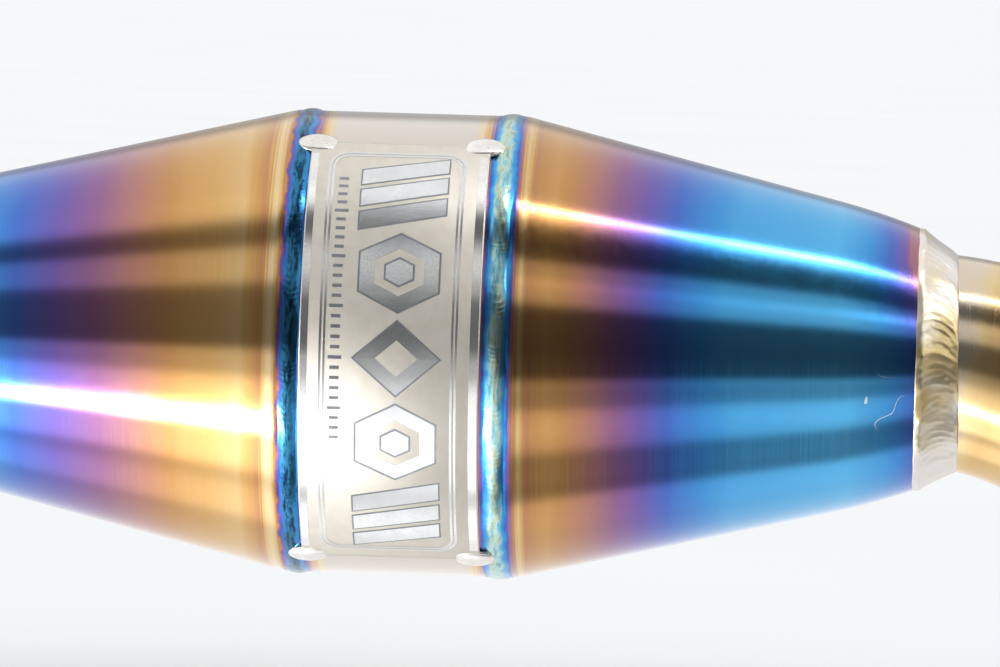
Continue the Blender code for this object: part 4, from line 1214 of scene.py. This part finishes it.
def buildHanger(finishes):
    inner = body["radius"] + hanger["lift"]
    outer = inner + hanger["plate"]
    span, leg = hanger["halfSpan"], hanger["halfSpan"] - hanger["plate"]
    seat = body["radius"] - 0.1 * mm

    def foot(z):
        return math.sqrt(seat * seat - z * z)

    def bent(y, z, radius, steps):
        # a quarter bend that ends flush with y and z
        turns = [math.pi / 2 * k / steps for k in range(steps + 1)]
        return [(y - radius + radius * math.sin(a), z - radius + radius * math.cos(a)) for a in turns]

    # one arm of the folded plate's outline; the other arm mirrors it
    arm = [(foot(leg), leg), (foot(span), span)] + bent(outer, span, hanger["outerBend"], 8)
    inside = bent(inner, leg, hanger["innerBend"], 6)
    outline = ([(y, -z) for y, z in arm] + arm[::-1] + inside + [(y, -z) for y, z in reversed(inside)])
    half = hanger["width"] / 2
    bracket = addPiece("hangerBracket", slab(outline, -half, half, 0.4 * mm),
                       finishes["socket"], "muffler", ["hanger_bracket"])
    across = Matrix.Rotation(math.pi / 2, 4, "Z")
    carve(bracket, drill(inner - 3 * mm, outer + 3 * mm, hanger["hole"], across))

    for side, name in ((1, "Upper"), (-1, "Lower")):
        rings = []
        count = 150
        for step in range(-2, count + 3):
            t = min(1.0, max(0.0, step / count))
            x = -half + 2 * half * t
            ends = {-2: 0.3, -1: 0.75, count + 1: 0.75, count + 2: 0.3}.get(step, 1.0)
            nose = {-2: -0.8 * mm, -1: -0.5 * mm, count + 1: 0.5 * mm, count + 2: 0.8 * mm}.get(step, 0.0)
            ring = []
            for k in range(20):
                angle = turn * k / 20
                facing = 0.5 + 0.5 * math.cos(angle - math.radians(45))
                wave = crescentWave(x / (1.2 * mm) + 1.4 * facing + 0.8 * smoothNoise(x, side, 5, 5 * mm))
                radius = (hanger["bead"] + 0.12 * mm * wave
                          + 0.15 * mm * smoothNoise(x, side, 8, 6 * mm)) * ends
                ring.append((x + nose, foot(span) + 0.5 * mm + radius * math.cos(angle),
                             side * (span + 0.1 * mm + radius * math.sin(angle))))
            rings.append(ring)
        addPiece("hangerBead" + name, loft(rings, caps=True), finishes["bead"], "muffler",
                 ["hanger_weld_" + name.lower()], sharpAngle=75)

    place = bodyPlace @ across
    gap = hanger["gap"]
    low, high = inner - gap - hanger["lip"], outer + gap + hanger["lip"]
    groove, bore = hanger["hole"] - gap, hanger["sleeve"] + 0.05 * mm
    rubber = rounded([(inner - gap, groove), (inner - gap, hanger["flange"]),
                      (low, hanger["flange"]), (low, bore), (high, bore),
                      (high, hanger["flange"]), (outer + gap, hanger["flange"]),
                      (outer + gap, groove)], 0.9 * mm, 4)
    addPiece("hangerGrommet", turned(rubber, 96), finishes["rubber"], "muffler",
             ["hanger_grommet"], place)
    face = outer + 2 * gap + hanger["lip"]
    top = face + hanger["sleeveFlangeThickness"]
    sleeve = rounded([(low, hanger["sleeve"]), (face, hanger["sleeve"]),
                      (face, hanger["sleeveFlange"]), (top, hanger["sleeveFlange"]),
                      (top, hanger["bore"]), (low, hanger["bore"])], 0.4 * mm)
    addPiece("hangerSleeve", turned(sleeve, 96), finishes["zinc"], "muffler",
             ["hanger_sleeve"], place)


def brushedMetal(name, light, dark, roughness, pitch, depth=0.15):
    # plain brushed metal: bright, with a faint uneven stain from heat and handling
    material, tree = newMaterial(name)
    place = addNode(tree, "TexCoord").outputs["Object"]
    stain = addNode(tree, "TexNoise", {"Vector": place, "Scale": 1 / (14 * mm), "Detail": 4.0})
    colour = addNode(tree, "ValToRGB", {0: stain}, [(0.35, linear(light)), (0.65, linear(dark))])
    finishBrushed(tree, colour, brushLines(tree, place, pitch), roughness, depth)
    return material


def speckledMetal(name, stops, roughness, grain, grainSize, metallic=1.0):
    # metal with a fine even grain; the stops colour it from its pits to its peaks
    material, tree = newMaterial(name)
    place = addNode(tree, "TexCoord").outputs["Object"]
    speck = addNode(tree, "TexNoise", {"Vector": place, "Scale": 1 / grainSize, "Detail": 4.0,
                                       "Roughness": 0.6})
    broad = addNode(tree, "TexNoise", {"Vector": place, "Scale": 1 / (grainSize * 12), "Detail": 2.0})
    level = addNode(tree, "Math", {0: speck, 1: broad}, operation="ADD")
    level = addNode(tree, "Math", {0: level, 1: 0.5}, operation="MULTIPLY")
    colour = addNode(tree, "ValToRGB", {0: level}, [(position, linear(code)) for position, code in stops])
    rough = addNode(tree, "MapRange", {"Value": speck, "From Min": 0.3, "From Max": 0.7,
                                       "To Min": roughness * 0.85, "To Max": roughness * 1.15})
    bump = addNode(tree, "Bump", {"Height": speck, "Strength": grain, "Distance": 0.05 * mm})
    finishMaterial(tree, {"Base Color": colour, "Metallic": metallic, "Roughness": rough, "Normal": bump})
    return material


def seamFinish(name, flank, beadHalf, centre):
    # the seam's thick oxide: smooth tinted flanks, and a bead that went past blue, with long
    # soft streaks of paler and darker film
    material, tree = newMaterial(name)
    place = addNode(tree, "TexCoord").outputs["Object"]
    parts = addNode(tree, "SeparateXYZ", {0: place})
    along = addNode(tree, "Math", {0: parts.outputs["X"]}, operation="ABSOLUTE")
    across = addNode(tree, "Math", {0: along, 1: body["seamAt"]}, operation="SUBTRACT")
    wobble = addNode(tree, "TexNoise", {"Vector": place, "Scale": 1 / (5 * mm), "Detail": 3.0})
    offset = addNode(tree, "MapRange", {"Value": wobble, "From Min": 0.3, "From Max": 0.7,
                                        "To Min": -0.5 * mm, "To Max": 0.5 * mm})
    across = addNode(tree, "Math", {0: across, 1: offset}, operation="ADD")
    spot = addNode(tree, "MapRange", {"Value": across, "From Min": flank[0][0] * mm,
                                      "From Max": flank[-1][0] * mm})
    span = flank[-1][0] - flank[0][0]
    film = addNode(tree, "ValToRGB", {0: spot}, [((d - flank[0][0]) / span, (value, value, value, 1))
                                                 for d, value in flank])
    smooth = temperColour(tree, film)
    streaks = addNode(tree, "VectorMath", {0: place, 1: (1 / (1.8 * mm), 1 / (8 * mm), 1 / (8 * mm))},
                      operation="MULTIPLY")
    patches = addNode(tree, "TexNoise", {"Vector": streaks, "Scale": 1.0, "Detail": 4.0, "Roughness": 0.6})
    rough = addNode(tree, "ValToRGB", {0: patches}, [(position, linear(code)) for position, code in centre])
    far = addNode(tree, "Math", {0: across}, operation="ABSOLUTE")
    inBead = addNode(tree, "MapRange", {"Value": far, "From Min": beadHalf + 0.4 * mm,
                                        "From Max": beadHalf - 0.5 * mm})
    colour = addNode(tree, "Mix", {"Factor": inBead, 6: smooth, 7: rough}, data_type="RGBA")
    finishMaterial(tree, {"Base Color": colour.outputs[2], "Metallic": 1.0, "Roughness": 0.17})
    return material


inletFlank = [(-3.3, 0.62), (-2.8, 0.78), (-2.2, 0.88), (-1.2, 0.97), (1.0, 0.97), (1.9, 0.91),
              (2.6, 0.83), (3.3, 0.68)]
outletFlank = [(-3.3, 0.45), (-2.8, 0.62), (-2.2, 0.80), (-1.2, 0.90), (1.0, 0.90),
               (1.7, 0.78), (2.4, 0.62), (3.1, 0.34)]
tealBead = [(0.30, "#5a90a0"), (0.42, "#8cc0cc"), (0.50, "#b4d8d4"), (0.57, "#bcc8a4"),
            (0.64, "#8cacac"), (0.74, "#7abcd0")]
indigoBead = [(0.30, "#141f38"), (0.42, "#1f4468"), (0.50, "#3a7ca0"), (0.57, "#24506a"),
              (0.64, "#1c3448"), (0.74, "#4488b0")]


def beadFinish():
    # clean filler metal: bright silver with champagne patches; round the middle height it is more champagne
    # and a little darker than towards the top and bottom
    material, tree = newMaterial("brightWeldBead")
    place = addNode(tree, "TexCoord").outputs["Object"]
    parts = addNode(tree, "SeparateXYZ", {0: place})
    patch = addNode(tree, "TexNoise", {"Vector": place, "Scale": 1 / (9 * mm), "Detail": 3.0})
    height = addNode(tree, "Math", {0: parts.outputs["Z"]}, operation="ABSOLUTE")
    middle = addNode(tree, "MapRange", {"Value": height, "From Min": 6 * mm, "From Max": 26 * mm,
                                        "To Min": 0.16, "To Max": -0.2})
    level = addNode(tree, "Math", {0: patch, 1: middle}, operation="ADD")
    colour = addNode(tree, "ValToRGB", {0: level}, [(0.3, linear("#e6e1dc")), (0.52, linear("#e4d8c0")),
                                                    (0.72, linear("#d6c08e"))])
    finishMaterial(tree, {"Base Color": colour, "Metallic": 1.0, "Roughness": 0.32})
    return material


def pipeFinish(name, start, bend):
    # thin pipe, straw to bronze from the heat inside; a pale stripe stays beside the weld
    material, tree = newMaterial(name)
    place = addNode(tree, "TexCoord").outputs["Object"]
    parts = addNode(tree, "SeparateXYZ", {0: place})
    if bend:
        out = addNode(tree, "Math", {0: parts.outputs["X"], 1: coneEndX}, operation="SUBTRACT")
        up = addNode(tree, "Math", {0: parts.outputs["Z"], 1: pipe["bendRadius"]}, operation="ADD")
        swing = addNode(tree, "Math", {0: out, 1: up}, operation="ARCTAN2")
        along = addNode(tree, "Math", {0: swing, 1: pipe["bendRadius"]}, operation="MULTIPLY")
    else:
        out = addNode(tree, "Math", {0: parts.outputs["X"]}, operation="ABSOLUTE")
        along = addNode(tree, "Math", {0: out, 1: coneEndX}, operation="SUBTRACT")
    cloud = addNode(tree, "TexNoise", {"Vector": place, "Scale": 1 / (12 * mm), "Detail": 3.0})
    shift = addNode(tree, "MapRange", {"Value": cloud, "From Min": 0.3, "From Max": 0.7,
                                       "To Min": -1.6 * mm, "To Max": 1.6 * mm})
    moved = addNode(tree, "Math", {0: along, 1: shift}, operation="ADD")
    spot = addNode(tree, "MapRange", {"Value": moved, "From Min": start, "From Max": start + 60 * mm})
    films = [(0.0, 0.03), (0.03, 0.05), (0.06, 0.1), (0.10, 0.15), (0.16, 0.19), (0.4, 0.16),
             (0.7, 0.11), (1.0, 0.05)]
    film = addNode(tree, "ValToRGB", {0: spot},
                   [(position, (value, value, value, 1)) for position, value in films])
    finishBrushed(tree, temperColour(tree, film), brushLines(tree, place), 0.24)
    return material


def fibres(name, light, dark, size, metallic, roughness):
    # matted fibres: long thin strands crossing at random
    material, tree = newMaterial(name)
    place = addNode(tree, "TexCoord").outputs["Object"]
    swirl = addNode(tree, "TexNoise", {"Vector": place, "Scale": 1 / (size * 20), "Detail": 2.0})
    bent = addNode(tree, "Mix", {"Factor": 0.02, 4: place, 5: swirl.outputs["Color"]}, data_type="VECTOR")
    strands = addNode(tree, "TexWave",
                      {"Vector": bent.outputs[1], "Scale": 1 / (size * 8), "Distortion": 12.0,
                       "Detail": 3.0})
    colour = addNode(tree, "ValToRGB", {0: strands.outputs["Fac"]},
                     [(0.2, linear(dark)), (0.8, linear(light))])
    bump = addNode(tree, "Bump", {"Height": strands.outputs["Fac"], "Strength": 0.6, "Distance": size})
    finishMaterial(tree, {"Base Color": colour, "Metallic": metallic,
                          "Roughness": roughness, "Normal": bump})
    return material


finishes = {
    "inletCone": brushedTitanium("torchedTitaniumInlet", inletTint, 0.2),
    "outletCone": brushedTitanium("torchedTitaniumOutlet", outletTint, 0.2),
    "band": brushedTitanium("torchedTitaniumBand", bandTint, 0.2),
    "inletSeam": seamFinish("bluedSeamTeal", inletFlank, 1.5 * mm, tealBead),
    "outletSeam": seamFinish("bluedSeamIndigo", outletFlank, 1.4 * mm, indigoBead),
    "longSeam": speckledMetal("bluedLongSeam", [(0.35, "#4a97d8"), (0.5, "#8fc4de"),
                                                (0.65, "#6f86b8")], 0.2, 0.3, 1.4 * mm),
    "bead": beadFinish(),
    "pipe": pipeFinish("strawTitaniumElbow", 10 * mm, True),
    "outletPipe": pipeFinish("strawTitaniumOutletPipe", 10 * mm, False),
    "badgeField": speckledMetal("etchedChampagnePlate", [(0.35, "#d6d0c3"), (0.65, "#e0dbd0")],
                                0.46, 0.4, 0.25 * mm, 0.65),
    "badgeInlay": speckledMetal("polishedPlateInlay", [(0.35, "#e2e3e4"), (0.65, "#d3d5d6")],
                                0.24, 0.12, 0.5 * mm),
    "badgeStrip": speckledMetal("polishedPlateEdge", [(0.35, "#efeeeb"), (0.65, "#e0dfdc")],
                                0.14, 0.1, 0.6 * mm),
    # dark grey for the etched dashes and for the rims of painted shade round the ornament
    "badgeLineAndShade": speckledMetal("darkEtchedLineAndPaintedShade", [(0.35, "#7f8488"), (0.65, "#959a9f")],
                               0.4, 0.3, 0.2 * mm, 0.7),
    "tack": speckledMetal("brightTackPad", [(0.35, "#f2efeb"), (0.65, "#dcd8d2")], 0.2, 0.12, 1.2 * mm),
    "socket": brushedMetal("plainTitanium", "#cdc4b8", "#bcb1a2", 0.27, 0.3 * mm),
    "stainless": brushedMetal("satinStainless", "#cfcfce", "#bdbdbc", 0.26, 0.25 * mm),
    "zinc": speckledMetal("brightZincPlate", [(0.35, "#dcdfe2"), (0.65, "#c4c6c6")], 0.22, 0.15, 0.3 * mm),
    "rubber": speckledMetal("hangerRubber", [(0.35, "#1b1b1b"), (0.65, "#2b2a29")],
                            0.68, 0.5, 0.35 * mm, 0.0),
    "wool": fibres("steelWool", "#b9b9b8", "#55534f", 0.05 * mm, 1.0, 0.4),
    "packing": fibres("glassPacking", "#efe9d6", "#bdb190", 0.04 * mm, 0.0, 0.7),
}
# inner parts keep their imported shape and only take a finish
kept = {"inlet_end_ring": "socket", "outlet_end_ring": "socket", "core_tube": "stainless",
        "wool_wrap": "wool", "packing": "packing"}
for node, finish in kept.items():
    for holder in bpy.data.objects[node].material_slots:
        holder.material = finishes[finish]

buildShells(finishes)
print("cones and band are in")
buildWelds(finishes)
buildInletPipe(finishes["pipe"])
print("welds and elbow are in")
buildBadge(finishes)
buildTacks(finishes["tack"])
print("badge plate is in")
buildSocket(finishes)
buildClamp(finishes)
print("slip joint and clamp are in")
buildOutlet(finishes)
buildBaffle(finishes)
buildHanger(finishes)
print("outlet, baffle and hanger are in")
